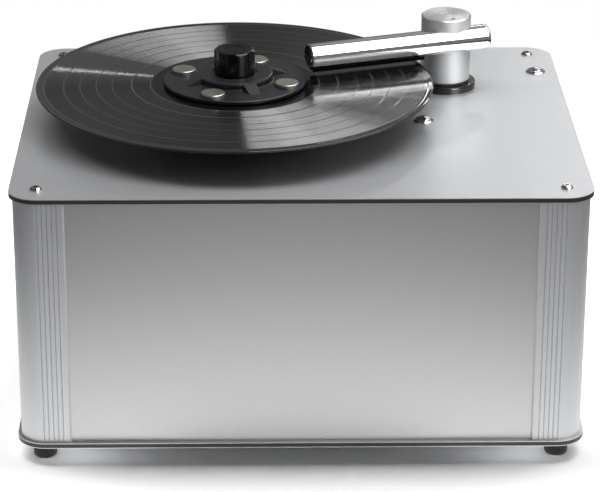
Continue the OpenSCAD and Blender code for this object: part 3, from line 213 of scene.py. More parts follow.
# The camera stands where the photograph's did: fitted to the plates' corners and the record's rim.
cameraValues = {
    "place": (-0.031753, -1.880533, 0.884501),  # metres
    "lens": 157.28,  # millimetres
    "sensor": 36,
    "sees": (0.05, 30),  # nearest and farthest, in metres
    "yaw": -1.0114,  # degrees
    "pitch": 67.4254,
    "roll": 0.1587,
}


def makeCamera(values):
    camera = bpy.data.cameras.new("photoCamera")
    camera.lens, camera.sensor_width = values["lens"], values["sensor"]
    camera.clip_start, camera.clip_end = values["sees"]
    holder = bpy.data.objects.new("photoCamera", camera)
    bpy.context.scene.collection.objects.link(holder)
    turn = (Matrix.Rotation(math.radians(values["yaw"]), 4, "Z")
            @ Matrix.Rotation(math.radians(values["pitch"]), 4, "X")
            @ Matrix.Rotation(math.radians(values["roll"]), 4, "Z"))
    holder.matrix_world = Matrix.Translation(values["place"]) @ turn
    bpy.context.scene.camera = holder


makeCamera(cameraValues)
print("camera made")

# Studio, in metres: two softboxes overhead on the right, one front right and a slim one behind, which metal
# mirrors and matt faces don't see, a ceiling that lights matt faces alone, and a pale floor. A grey surround
# and a graded card on the floor show only as reflections.
studioValues = {
    "softboxes": {
        "overhead": {"place": (0.86, -0.24, 1.4), "aim": (0.86, -0.24, 0), "size": (1.6, 1.32), "light": 3.3},
        "corner": {"place": (0.95, 0.71, 1.4), "aim": (0.95, 0.71, 0), "size": (0.86, 0.58), "light": 1.7},
        "front": {"place": (1.55, -1.76, 1.58), "aim": (0.06, 0.05, 0.25), "size": (1.1, 1.0), "light": 7.8},
        "strip": {"place": (0.46, 1.27, 0.79), "aim": (-0.05, 0, 0.235), "size": (0.5, 0.05), "light": 10.5,
                  "roll": 22},
        "ceiling": {"place": (-0.1, 0.155, 1.7), "aim": (-0.1, 0.155, 0), "size": (2.6, 0.65), "light": 7.5,
                    "matt": True},
    },
    "floor": "#f4f4f4",
    "floorSize": 16,
    "floorGain": 1.65,  # the camera and the metal see the floor this much paler, so that it reaches white
    "white": (0.35, 0.9),  # from the middle, where the seen floor turns to plain white
    "ambient": 0.09,
    "card": (0.215, 1.85),  # from the middle: its inner edge, and how far its tones run
    "cardEdge": 4.5,
    "cardLift": 0.001,
    "cardTones": [(0.0, 1.6), (0.1, 1.35), (0.208, 0.24), (0.388, 0.0), (0.6, 0.14)],
    "surroundRadius": 5,
    "behindTones": [(0.0, 0.14), (0.38, 0.22), (0.44, 0.13), (0.49, 0.11), (0.54, 0.2), (0.6, 0.34),
                    (1.0, 0.34)],
    "heightTones": [(0.0, 0.08), (0.12, 0.15), (0.3, 1.0), (0.84, 1.0), (0.94, 0.2)],
    "frontTones": [(0.0, 0.09), (0.5, 0.08), (1.0, 0.20)],
    "behindFrom": (-0.3, 0.4),  # where the surround's front tones turn into those behind
    "sideways": (-0.5, 0.5),  # the stretch from left to right that those tones are spread over
}


def makeSoftbox(name, values):
    lamp = bpy.data.lights.new(name, "AREA")
    lamp.shape = "RECTANGLE"
    lamp.size, lamp.size_y = values["size"]
    lamp.energy = values["light"] * math.pi * lamp.size * lamp.size_y  # even radiance over the face
    holder = bpy.data.objects.new(name, lamp)
    bpy.context.scene.collection.objects.link(holder)
    place, aim = Vector(values["place"]), Vector(values["aim"])
    holder.location = place
    roll = Matrix.Rotation(math.radians(values.get("roll", 0)), 3, "Z")
    holder.rotation_euler = ((aim - place).to_track_quat("-Z", "Y").to_matrix() @ roll).to_euler()
    holder.visible_camera = False
    holder.visible_diffuse = values.get("matt", False)
    holder.visible_glossy = not holder.visible_diffuse


def backgroundRays(tree):  # 1 for what the eye, metal or glass sees
    seen = 0.0
    for kind in ("Is Camera Ray", "Is Glossy Ray", "Is Transmission Ray"):
        seen = addNode(tree, "Math", [seen, addNode(tree, "LightPath", {}, kind)], operation="MAXIMUM")
    return seen


def makeFloor(values):
    floor = startPiece(bpy.ops.mesh.primitive_plane_add, "studioFloor", size=values["floorSize"],
                       location=(0, 0, 0))
    material, tree = newMaterial("matt white floor")
    pale = srgb(values["floor"])
    plain = addNode(tree, "BsdfDiffuse", {"Color": pale})
    bright = addNode(tree, "BsdfDiffuse", {"Color": [c * values["floorGain"] for c in pale[:3]] + [1]})
    white = addNode(tree, "Emission", {"Color": (1, 1, 1, 1), "Strength": 1.0})
    away = addNode(tree, "MapRange", [radiusFrom(tree, placeAt(tree)), *values["white"], 0.0, 1.0])
    seenFloor = addNode(tree, "MixShader", [away, bright, white])
    finishMaterial(tree, [backgroundRays(tree), plain, seenFloor], "MixShader")
    floor.data.materials.append(material)


def mirrorOnly(piece):  # seen in reflections and nowhere else
    piece.visible_camera = False
    piece.visible_diffuse = False
    piece.visible_transmission = False
    piece.visible_shadow = False


def makeSurround(values):
    surround = startPiece(bpy.ops.mesh.primitive_uv_sphere_add, "greySurround", segments=64, ring_count=32,
                          radius=values["surroundRadius"])
    material, tree = newMaterial("grey studio surround")
    spot = addNode(tree, "TexCoord", {}, "Object")
    unit = addNode(tree, "VectorMath", [spot], operation="NORMALIZE")
    side, deep, height = [addNode(tree, "SeparateXYZ", [unit], key) for key in "XYZ"]
    behind = addNode(tree, "MapRange", [deep, *values["behindFrom"], 0.0, 1.0])
    right = addNode(tree, "MapRange", [side, *values["sideways"], 0.0, 1.0])
    wide = addNode(tree, "ValToRGB", [right], stops=values["behindTones"])
    back = tint(tree, wide, height, values["heightTones"])
    front = addNode(tree, "ValToRGB", [right], stops=values["frontTones"])
    tone = addNode(tree, "Mix", {0: behind, 6: front, 7: back}, 2, data_type="RGBA")
    finishMaterial(tree, {"Color": tone}, "Emission")
    surround.data.materials.append(material)
    mirrorOnly(surround)


def makeFloorCard(values):  # a card round the machine that shades the walls' reflections from white to grey
    card = startPiece(bpy.ops.mesh.primitive_circle_add, "floorCard", vertices=96, radius=values["cardEdge"],
                      fill_type="NOTHING", location=(0, 0, values["cardLift"]))
    start, stop = values["card"]
    bpy.ops.object.mode_set(mode="EDIT")
    bpy.ops.mesh.extrude_edges_move()
    bpy.ops.transform.resize(value=(start / values["cardEdge"],) * 2 + (1,),
                             center_override=(0, 0, values["cardLift"]))
    bpy.ops.object.mode_set(mode="OBJECT")
    bpy.ops.object.transform_apply(location=True, rotation=False, scale=False)
    material, tree = newMaterial("graded floor card")
    away = addNode(tree, "MapRange", [radiusFrom(tree, placeAt(tree)), start, stop, 0.0, 1.0])
    finishMaterial(tree, {"Color": addNode(tree, "ValToRGB", [away], stops=values["cardTones"])}, "Emission")
    card.data.materials.append(material)
    mirrorOnly(card)


def makeWorld(values):
    world = bpy.data.worlds.new("paleStudio")
    bpy.context.scene.world = world
    world.use_nodes = True
    tree = world.node_tree
    tree.nodes.clear()
    fill = addNode(tree, "Background", {"Color": (values["ambient"],) * 3 + (1,), "Strength": 1.0})
    white = addNode(tree, "Background", {"Color": (1, 1, 1, 1), "Strength": 1.0})
    addNode(tree, "OutputWorld", [addNode(tree, "MixShader", [backgroundRays(tree), fill, white])])
    bpy.context.scene.view_settings.view_transform = "Standard"


for place, softbox in studioValues["softboxes"].items():
    makeSoftbox(place + "Softbox", softbox)
makeFloor(studioValues)
makeFloorCard(studioValues)
makeSurround(studioValues)
makeWorld(studioValues)
print("studio made")

# Materials. Each starts from the real one and how its surface was made. A MapRange's inputs are the pattern,
# its two ends and the two levels they turn into.


def brushedSheet(name, tone="#d4d5d7", rough=0.38, hair=0.25, band=2.2, stretch=60):
    # Anodised aluminium sheet, brushed along X: light stretches across the hairlines, and the oxide skin over
    # the metal scatters a little of it evenly.
    material, tree = newMaterial(name)
    hairs = clouds(tree, (stretch * hair, hair, hair), 4.0)
    bands = clouds(tree, (stretch * band, band, band), 2.0)
    finishMaterial(tree, {
        "Base Color": tint(tree, srgb(tone), hairs, [(0.25, 0.88), (0.75, 1.0)]),
        "Metallic": 0.7, "Anisotropic": 0.3,
        "Roughness": addNode(tree, "MapRange", [bands, 0.3, 0.7, rough - 0.03, rough + 0.03]),
        "Tangent": fixedTangent(tree, (0, 1, 0)),
        "Normal": addNode(tree, "Bump", {"Height": hairs, "Distance": 0.01 * mm, "Strength": 0.25})})
    return material


def satinPanel(name, tone="#c4c4c4"):
    # Etched and anodised aluminium panel: an even matt grain with barely any rolling streaks. The real grain
    # is finer than the render can show, so it is drawn about 1 mm coarse.
    material, tree = newMaterial(name)
    grain = clouds(tree, 1.1, 3.0, 0.7)
    streaks = clouds(tree, (3, 3, 260), 4.0)
    even = addNode(tree, "MapRange", [grain, 0.0, 1.0, 0.0, 0.9])
    mixed = addNode(tree, "Math", [streaks, 0.1, even], operation="MULTIPLY_ADD")
    finishMaterial(tree, {
        "Base Color": tint(tree, srgb(tone), mixed, [(0.3, 0.86), (0.7, 1.0)]),
        "Metallic": 1.0, "Anisotropic": 0.3,
        "Roughness": addNode(tree, "MapRange", [streaks, 0.3, 0.7, 0.475, 0.495]),
        "Tangent": fixedTangent(tree, (1, 0, 0)),
        "Normal": addNode(tree, "Bump", {"Height": grain, "Distance": 0.02 * mm, "Strength": 0.3})})
    return material


def extrudedAluminium(name, tone="#cdced0"):
    # Extruded and anodised aluminium: fine upright die lines, a little brighter than the panels.
    material, tree = newMaterial(name)
    lines = clouds(tree, (0.6, 0.6, 300), 4.0)
    grain = clouds(tree, 0.4, 2.0)
    finishMaterial(tree, {
        "Base Color": tint(tree, srgb(tone), lines, [(0.3, 0.9), (0.7, 1.0)]),
        "Metallic": 1.0, "Anisotropic": 0.35,
        "Roughness": addNode(tree, "MapRange", [grain, 0.3, 0.7, 0.54, 0.62]),
        "Tangent": fixedTangent(tree, (1, 0, 0)),
        "Normal": addNode(tree, "Bump", {"Height": lines, "Distance": 0.01 * mm, "Strength": 0.3})})
    return material


def polishedMetal(name, tone, rough=0.08, wear=0.05, smear=3.0):
    # Polished metal: nearly a mirror, with faint wiping marks and fingerprints in its gloss.
    material, tree = newMaterial(name)
    marks = clouds(tree, smear, 5.0, 0.65)
    fine = clouds(tree, 0.3, 2.0)
    finishMaterial(tree, {
        "Base Color": tint(tree, srgb(tone), marks, [(0.3, 0.95), (0.7, 1.0)]),
        "Metallic": 1.0,
        "Roughness": addNode(tree, "MapRange", [marks, 0.35, 0.75, rough, rough + wear]),
        "Normal": addNode(tree, "Bump", {"Height": fine, "Distance": 0.002 * mm, "Strength": 0.2})})
    return material


def turnedMetal(name, tone, axis, rough=0.28, pitch=0.35, side=0.6):
    # Metal turned on a lathe: close rings on the end face, which fan the light out, and a satin side.
    material, tree = newMaterial(name)
    spot = placeAt(tree, axis)
    height = addNode(tree, "SeparateXYZ", [spot], "Z")
    along = addNode(tree, "CombineXYZ", {"X": radiusFrom(tree, spot), "Z": height})
    rings = addNode(tree, "TexNoise", {"Vector": along, "Scale": 1 / (pitch * mm), "Detail": 3.0,
                                       "Roughness": 0.6}, "Fac")
    facing = addNode(tree, "SeparateXYZ", [addNode(tree, "TexCoord", {}, "Normal")], "Z")
    upward = addNode(tree, "Math", [facing], operation="ABSOLUTE")
    flat = addNode(tree, "MapRange", [upward, 0.4, 0.8, 0.0, 1.0])
    tangent = addNode(tree, "Mix", {0: flat, 4: fixedTangent(tree, (0, 0, 1)),
                                    5: radialTangent(tree, axis)}, 1, data_type="VECTOR")
    level = addNode(tree, "MapRange", [flat, 0.0, 1.0, side - 0.03, rough - 0.03])
    finishMaterial(tree, {
        "Base Color": tint(tree, srgb(tone), rings, [(0.3, 0.93), (0.7, 1.0)]),
        "Metallic": 0.88, "Anisotropic": 0.5,
        "Roughness": addNode(tree, "Math", [rings, 0.06, level], operation="MULTIPLY_ADD"),
        "Tangent": tangent,
        "Normal": addNode(tree, "Bump", {"Height": rings, "Distance": 0.006 * mm, "Strength": 0.2})})
    return material


def platedSteel(name, tone="#c6c8c6", rough=0.3):
    # Zinc plated steel: pale metal with a spangled, slightly uneven gloss.
    material, tree = newMaterial(name)
    spangle = addNode(tree, "TexVoronoi", {"Vector": placeAt(tree, size=(2, 2, 2)), "Scale": 1.0}, "Distance")
    cloud = clouds(tree, 5, 4.0)
    finishMaterial(tree, {
        "Base Color": tint(tree, srgb(tone), cloud, [(0.3, "#d9d6c6"), (0.6, "#ffffff"), (0.8, "#dfe4ec")]),
        "Metallic": 1.0,
        "Roughness": addNode(tree, "MapRange", [spangle, 0.0, 1.0, rough, rough + 0.12]),
        "Normal": addNode(tree, "Bump", {"Height": spangle, "Distance": 0.01 * mm, "Strength": 0.2})})
    return material


def mouldedPlastic(name, tone, rough=0.45, grain=0.35, depth=0.012, shine=0.5, worn=0.12):
    # Moulded ABS, and black anodising, which looks much like it: a fine grain from the tool, with slightly
    # polished patches where it is handled.
    material, tree = newMaterial(name)
    texture = addNode(tree, "TexVoronoi", {"Vector": placeAt(tree, size=(grain,) * 3), "Scale": 1.0,
                                           "Smoothness": 0.7}, "Distance", feature="SMOOTH_F1")
    patches = clouds(tree, 14, 4.0)
    dust = clouds(tree, 0.9, 3.0, 0.7)
    finishMaterial(tree, {
        "Base Color": tint(tree, srgb(tone), dust, [(0.3, 0.8), (0.7, 1.0)]),
        "IOR": 1.53, "Specular IOR Level": shine,
        "Roughness": addNode(tree, "MapRange", [patches, 0.3, 0.7, rough - worn, rough + 0.04]),
        "Normal": addNode(tree, "Bump", {"Height": texture, "Distance": depth * mm, "Strength": 0.5})})
    return material


def rubber(name, tone="#1b1b1c", rough=0.72):
    # Moulded rubber: black, dry and faintly dusty, with a soft uneven skin.
    material, tree = newMaterial(name)
    skin = clouds(tree, 0.8, 4.0, 0.65)
    dust = clouds(tree, 9)
    finishMaterial(tree, {
        "Base Color": addNode(tree, "ValToRGB", [dust], stops=[(0.35, tone), (0.8, "#2b2b2b")]),
        "IOR": 1.52, "Specular IOR Level": 0.4,
        "Roughness": addNode(tree, "MapRange", [skin, 0.3, 0.7, rough - 0.08, rough + 0.1]),
        "Normal": addNode(tree, "Bump", {"Height": skin, "Distance": 0.04 * mm, "Strength": 0.5})})
    return material


def sandwichCore(name):
    # Black polyethylene core of a sandwich sheet, sawn and sanded at its edge: lines run along the sheet.
    material, tree = newMaterial(name)
    layers = clouds(tree, (12, 12, 0.18))
    specks = clouds(tree, 0.6)
    finishMaterial(tree, {
        "Base Color": tint(tree, srgb("#3c3d3f"), layers, [(0.3, 0.7), (0.7, 1.0)]),
        "IOR": 1.51,
        "Roughness": addNode(tree, "MapRange", [specks, 0.3, 0.7, 0.34, 0.46]),
        "Normal": addNode(tree, "Bump", {"Height": layers, "Distance": 0.03 * mm, "Strength": 0.3})})
    return material


# The record, in millimetres. Each band is given by its inner and outer radius, read from the photograph.
recordValues = {
    "axis": platterAxis,
    "low": 233.0,
    "high": 234.9,
    "radius": 150.5,
    "hole": 3.65,
    "holeEdge": 0.25,
    "label": 50.0,
    "labelSink": 0.06,
    "labelGap": 0.2,  # the sunk part is this much wider than the label
    "paperHole": 0.1,  # the paper stops this far from the hole
    "paperUnder": 0.005,  # between the paper and the vinyl
    "paperEdge": (0.08, 0.02),  # how far its cut edge bulges, and how high up
    "ledge": ((0.25, 0.0), (1.8, 0.0), (2.4, 0.08)),  # round the label: how far out and how deep
    "runOut": 3.4,  # from the label to where the recorded face begins
    "dip": 0.3,  # how far the recorded face lies below the label and the rim bead
    "bands": ((64.5, 78.1), (78.8, 92.7), (93.4, 104.8), (105.5, 117.1), (117.8, 129.5), (130.2, 144.2)),
    "gap": (0.25, 0.04),  # between two bands: its slope's width and its height
    "rimFrom": 4.4,  # from the edge in to where its bead begins
    # The bead's own points: how far in from the edge, and how deep.
    "rim": ((3.4, 0.06), (2.6, 0.0), (1.1, 0.0), (0.5, 0.12), (0.12, 0.45), (0.0, 0.8)),
    "grooveEdge": 0.2,  # a band's grooves fade in over this width
    "toneSpan": 160,  # the radius that the tone ramps run to
    "loudness": 2.6,  # width of louder and quieter passages
    "loudRelief": 0.014,
    "rays": 110,  # wiping marks across the grooves: how close round the record
    "rayLength": 7,
    "rayRelief": 0.007,
    "wallSlope": 0.85,  # the grooves' walls lean a little under 45 degrees
    "wallShare": (0.2, 0.64),  # how much of a quiet and of a loud band is wall and not flat land
    "wallGloss": (0.6, 0.33),
    "ink": "#7a2f2b",
    "print": "#d9cfba",
    "printRings": ((16.75, 17.5), (46.75, 47.5)),  # radii of the label's printed rings
}


def grooveStops(values):  # 1 on the recorded bands and 0 on the smooth gaps between them
    span, edge = values["toneSpan"], values["grooveEdge"]
    stops = [(0.0, 0.0)]
    for inner, outer in values["bands"]:
        stops += [(inner / span, 0.0), ((inner + edge) / span, 1.0), ((outer - edge) / span, 1.0),
                  (outer / span, 0.0)]
    return stops


def pressedVinyl(name, values):
    # Pressed vinyl: glossy black. Its close grooves throw light inwards and outwards but never sideways,
    # so a softbox shows as a sharp-sided fan, and the flat land between them mirrors what stands over it.
    material, tree = newMaterial(name)
    spot = placeAt(tree, values["axis"])
    radius = radiusFrom(tree, spot)
    outward = radialTangent(tree, values["axis"])
    loud = addNode(tree, "TexNoise", {"Vector": addNode(tree, "CombineXYZ", {"X": radius}),
                                      "Scale": 1 / (values["loudness"] * mm), "Detail": 6.0,
                                      "Roughness": 0.85}, "Fac")

    spread = addNode(tree, "MapRange", [radius, 0.0, values["toneSpan"] * mm, 0.0, 1.0])
    recorded = addNode(tree, "ValToRGB", [spread], stops=grooveStops(values))
    first, last = values["bands"][0][0] / values["toneSpan"], values["bands"][-1][1] / values["toneSpan"]
    bareVinylAndPaintedSheen = addNode(tree, "ValToRGB", [spread], stops=[  # black run-out, then painted sheen: lighter grey on the smooth gaps and on the rim bead
        (first - 0.01, "#0d0d0e"), (first, "#414143"), (last, "#414143"), (last + 0.005, "#2e2e30")])
    # painted sheen: louder passages are painted a lighter grey, in place of the light their grooves catch
    pressed = addNode(tree, "ValToRGB", [loud], stops=[(0.38, "#040405"), (0.62, "#232325")])
    # the land's base colour: black vinyl, with painted sheen on the gaps, the rim bead and the louder
    # passages
    tone = addNode(tree, "Mix", {0: recorded, 6: bareVinylAndPaintedSheen, 7: pressed}, 2, data_type="RGBA")

    unit = addNode(tree, "VectorMath", [flatten(tree, spot)], operation="NORMALIZE")
    depth = addNode(tree, "Math", [1 / (values["rayLength"] * mm), radius], operation="MULTIPLY")
    rays = addNode(tree, "VectorMath", [unit, (values["rays"], values["rays"], 0),
                                        addNode(tree, "CombineXYZ", {"Z": depth})], operation="MULTIPLY_ADD")
    streaks = addNode(tree, "TexNoise", {"Vector": rays, "Scale": 1.0, "Detail": 3.0,
                                         "Roughness": 0.7}, "Fac")
    passages = addNode(tree, "Bump", {"Height": loud, "Distance": values["loudRelief"] * mm, "Strength": 0.2})
    ridges = addNode(tree, "Bump", {"Height": streaks, "Distance": values["rayRelief"] * mm, "Strength": 1.0,
                                    "Normal": passages})
    land = addNode(tree, "BsdfPrincipled", {
        "Base Color": tone, "IOR": 1.54, "Anisotropic": 0.9, "Tangent": outward, "Normal": ridges,
        "Roughness": addNode(tree, "MapRange", [recorded, 0.0, 1.0, 0.08, 0.11])})

    away = addNode(tree, "VectorMath", [outward], operation="NORMALIZE")
    gloss = addNode(tree, "ValToRGB", [loud], stops=list(zip((0.36, 0.64), values["wallGloss"])))
    walls = []
    for side in (1, -1):  # the groove's outer and inner wall
        lean = addNode(tree, "VectorMath", [away, (side * values["wallSlope"],) * 3, ridges],
                       operation="MULTIPLY_ADD")
        facing = addNode(tree, "VectorMath", [lean], operation="NORMALIZE")
        walls.append(addNode(tree, "BsdfAnisotropic", {"Color": gloss, "Roughness": 0.22, "Anisotropy": -0.8,
                                                       "Tangent": outward, "Normal": facing}))
    grooves = addNode(tree, "MixShader", [0.5, *walls])
    wallPart = addNode(tree, "MapRange", [loud, 0.36, 0.64, *values["wallShare"]])
    share = addNode(tree, "Math", [recorded, wallPart], operation="MULTIPLY")
    finishMaterial(tree, [share, land, grooves], "MixShader")
    return material


def labelPaper(name, values):
    # Uncoated paper label pressed into the record: soft fibres, and a printed ring near its edge and another
    # round the hole.
    material, tree = newMaterial(name)
    spread = addNode(tree, "MapRange", [radiusFrom(tree, placeAt(tree, values["axis"])),
                                        0.0, values["label"] * mm, 0.0, 1.0])
    stops = [(0.0, values["ink"])]
    for inner, outer in values["printRings"]:
        stops += [(inner / values["label"], values["print"]), (outer / values["label"], values["ink"])]
    inks = addNode(tree, "ValToRGB", [spread], stops=stops, blend="CONSTANT")
    fibres = clouds(tree, 0.7, 5.0, 0.7)
    finishMaterial(tree, {
        "Base Color": tint(tree, inks, fibres, [(0.3, 0.86), (0.7, 1.0)]),
        "IOR": 1.5, "Specular IOR Level": 0.3,
        "Roughness": addNode(tree, "MapRange", [fibres, 0.3, 0.7, 0.68, 0.84]),
        "Normal": addNode(tree, "Bump", {"Height": fibres, "Distance": 0.03 * mm, "Strength": 0.4})})
    return material


def velvetPile(name):
    # Woven velvet pad: a dense black pile that glows a little at a grazing angle.
    material, tree = newMaterial(name)
    pile = clouds(tree, 0.25, 3.0, 0.7)
    finishMaterial(tree, {
        "Base Color": addNode(tree, "ValToRGB", [pile], stops=[(0.3, "#0a0a0a"), (0.75, "#1d1d1e")]),
        "IOR": 1.45, "Specular IOR Level": 0.1, "Sheen Weight": 0.35, "Sheen Roughness": 0.4,
        "Roughness": 0.95,
        "Normal": addNode(tree, "Bump", {"Height": pile, "Distance": 0.15 * mm, "Strength": 0.8})})
    return material


def machinedBrass(name):
    # Machined brass: warm yellow with cutter marks and a slight tarnish in the recesses.
    material, tree = newMaterial(name)
    marks = clouds(tree, (0.5, 0.5, 4))
    tarnish = clouds(tree, 11, 4.0)
    finishMaterial(tree, {
        "Base Color": addNode(tree, "ValToRGB", [tarnish], stops=[(0.3, "#a8844a"), (0.7, "#cfae6c")]),
        "Metallic": 1.0,
        "Roughness": addNode(tree, "MapRange", [marks, 0.3, 0.7, 0.24, 0.38]),
        "Normal": addNode(tree, "Bump", {"Height": marks, "Distance": 0.01 * mm, "Strength": 0.3})})
    return material


def naturalPolyethylene(name):
    # Blow-moulded polyethylene: milky, waxy and slightly cloudy.
    material, tree = newMaterial(name)
    cloud = clouds(tree, 18, 4.0)
    skin = clouds(tree, 1.2)
    finishMaterial(tree, {
        "Base Color": addNode(tree, "ValToRGB", [cloud], stops=[(0.3, "#c9ccc8"), (0.7, "#dfe0da")]),
        "IOR": 1.51, "Subsurface Weight": 0.4, "Subsurface Scale": 4 * mm,
        "Roughness": addNode(tree, "MapRange", [skin, 0.3, 0.7, 0.38, 0.5]),
        "Normal": addNode(tree, "Bump", {"Height": skin, "Distance": 0.04 * mm, "Strength": 0.4})})
    return material


def circuitBoard(name, low=17.5, partsFrom=27, tallest=62.5):  # heights in millimetres
    # Glass-fibre board with its parts: green resin weave low down, dark moulded and metal parts above it.
    material, tree = newMaterial(name)
    height = addNode(tree, "SeparateXYZ", [placeAt(tree)], "Z")
    weave = addNode(tree, "TexChecker", {"Vector": placeAt(tree, size=(0.6, 0.6, 0.6)), "Scale": 1.0,
                                         "Color1": srgb("#1f4a2f"), "Color2": srgb("#27583a")})
    level = addNode(tree, "MapRange", [height, low * mm, tallest * mm, 0.0, 1.0])
    parts = addNode(tree, "ValToRGB", [level], blend="CONSTANT", stops=[
        (0.0, "#9a9a94"), (0.28, "#23242a"), (0.6, "#1c1c20"), (1.0, "#3a3f52")])
    above = addNode(tree, "MapRange", [height, partsFrom * mm, (partsFrom + 0.5) * mm, 0.0, 1.0])
    grain = clouds(tree, 0.7)
    finishMaterial(tree, {
        "Base Color": addNode(tree, "Mix", {0: above, 6: weave, 7: parts}, 2, data_type="RGBA"),
        "IOR": 1.55,
        "Roughness": addNode(tree, "MapRange", [grain, 0.3, 0.7, 0.3, 0.5]),
        "Normal": addNode(tree, "Bump", {"Height": grain, "Distance": 0.02 * mm, "Strength": 0.3})})
    return material


finishes = {
    "brushed deck": (brushedSheet("brushed anodised aluminium sheet"), ("top_skins", "base_skins")),
    "panels": (satinPanel("etched anodised aluminium panel"),
               ("front_panel", "rear_panel", "left_panel", "right_panel")),
    "corners": (extrudedAluminium("extruded anodised aluminium"),
                ("profile_fl", "profile_fr", "profile_bl", "profile_br")),
    "core": (sandwichCore("black polyethylene core"), ("top_core", "base_core")),
    "feet": (rubber("moulded rubber foot"), ("feet",)),
    "mat": (rubber("cast rubber mat", "#161617", 0.66), ("platter_mat", "clamp_seal")),
    "hose": (rubber("extruded rubber hose", "#1d1d1e", 0.5), ("suction_hose",)),
    "zinc": (platedSteel("zinc plated steel"),
             ("foot_screws", "motor_plate", "motor_standoffs", "motor_screws", "knob_screws",
              "retaining_ring", "lift_spring")),
    "stainless": (polishedMetal("polished stainless steel", "#d6d7d8", 0.1),
                  ("top_screws", "flange_screws", "spindle", "arm_screw")),
    "chrome": (polishedMetal("chromium plated brass", "#dfe1e3", 0.05, 0.03),
               ("button_bezels", "drive_button", "suction_button")),
    "tube": (polishedMetal("polished aluminium tube", "#e6e7e8", 0.06, 0.02, 6.0), ("arm_tube",)),
    "pillar": (turnedMetal("turned aluminium pillar", "#f0f1f2", armAxis), ("arm_pillar",)),
    "impeller": (turnedMetal("turned aluminium impeller", "#b7b8ba", turbineAxis), ("impeller",)),
    "platter": (turnedMetal("turned black anodised aluminium", "#2a2b2d", platterAxis, 0.36), ("platter",)),
    "flange": (mouldedPlastic("black anodised flange", "#141415", 0.26, 0.3, 0.004, 0.8),
               ("guide_flange",)),
    "magnets": (polishedMetal("nickel plated magnet", "#c9c5bd", 0.38, 0.08, 4.0),
                ("clamp_magnets", "platter_magnets")),
    "clamp": (mouldedPlastic("moulded satin clamp disc", "#222325", 0.39, 0.5, 0.005), ("clamp_disc",)),
    "knob": (mouldedPlastic("polished moulded knob", "#0c0c0d", 0.16, 0.6, 0.002, 0.5, 0.05),
             ("clamp_knob", "knob_cap")),
    "brass": (machinedBrass("machined brass gear"), ("drive_gear", "motor_pinion")),
    "acetal": (mouldedPlastic("turned acetal bush", "#d8d6cf", 0.4, 0.4, 0.004),
               ("spindle_bushes", "lift_sleeve")),
    "motor": (platedSteel("passivated motor steel", "#a9abad", 0.34),
              ("gearbox", "motor_can", "vacuum_motor")),
    "tank": (naturalPolyethylene("natural polyethylene tank"), ("fluid_tank", "tank_lid")),
    "fittings": (mouldedPlastic("moulded black nylon", "#18181a", 0.45, 0.45, 0.015),
                 ("guide_cap", "exhaust_grille", "mains_inlet", "drain_port", "drain_plug", "power_rocker",
                  "fuse_drawer", "tube_caps")),
    "board": (circuitBoard("glass fibre circuit board"), ("power_board",)),
    "velvet": (velvetPile("black velvet pile"), ("velvet_strips",)),
    "record": (pressedVinyl("pressed vinyl record", recordValues), ("record",)),
}
for material, names in finishes.values():
    for name in names:
        for place in nodes[name].material_slots:
            place.material = material
print("materials made:", len(finishes))

# The pillar, turned from one bar, with the tube's saddle, duct and screw hole cut into it.
pillarValues = {
    "axis": armAxis,
    "angle": armAngle,
    "low": 148.5,  # bottom of the spigot that runs in the guide
    "foot": 215.5,
    "top": 266.9,
    "spigot": 11.0,
    "spigotEdge": 0.5,
    "body": 19.3,
    "edge": 0.8,
    "footEdge": 0.4,
    "sideRings": (0.12, 0.24, 0.36, 0.9),  # shares of the body's height
    "topRing": 0.6,  # share of the body's radius
    "groove": (168.5, 170.3, 10.4),  # seat of the retaining ring
    "duct": 6.0,
    "screwHole": 2.55,
    "saddle": (-tubeOffset, tubeHeight, 10.02),  # the tube's place, and its radius with a little room
    "past": 1,  # how far a cut runs past the metal
}


def makePillar(values):
    spigot, body, foot, top = values["spigot"], values["body"], values["foot"], values["top"]
    base, low, high, neck = values["low"], *values["groove"]
    edge, footEdge, spigotEdge = values["edge"], values["footEdge"], values["spigotEdge"]
    points = [(0, base), (spigot - spigotEdge, base), (spigot, base + spigotEdge), (spigot, low), (neck, low),
              (neck, high), (spigot, high), (spigot, foot), (body - footEdge, foot), (body, foot + footEdge)]
    points += [(body, foot + share * (top - foot)) for share in values["sideRings"]]
    points += [(body, top - edge), (body - edge, top), (values["topRing"] * body, top), (0, top)]
    pillar = turnProfile("turnedPillar", points, 180, closed=False)
    (offset, height, radius), past = values["saddle"], values["past"]
    drill(pillar, radius, 2 * (body + 2 * past), (0, offset, height), across=True, sides=160)
    drill(pillar, values["duct"], height - base + past, (0, 0, (height + base - past) / 2))
    drill(pillar, values["screwHole"], top - height + past, (0, offset, (top + height + past) / 2), sides=48)
    settle(pillar, values["axis"] + (0,), (0, 0, values["angle"]), 24)
    pillar.data.materials.append(finishes["pillar"][0])
    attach(pillar, "arm")
    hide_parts("arm_pillar")


makePillar(pillarValues)
print("pillar made")

# The collar moulded round each clamp magnet.
seatValues = {
    "axis": platterAxis,
    "count": 4,
    "reach": 42.4,
    "from": 67.5,  # degrees
    "low": 237.9,
    "high": 239.0,
    "inner": 9.15,
    "outer": 10.2,
    "flare": 0.25,
    "outside": ((0.1, 0.35), (-0.15, 0.1)),  # the rounded top: how far out and how deep
    "inside": ((0.1, 0.15), (0.0, 0.4)),
}


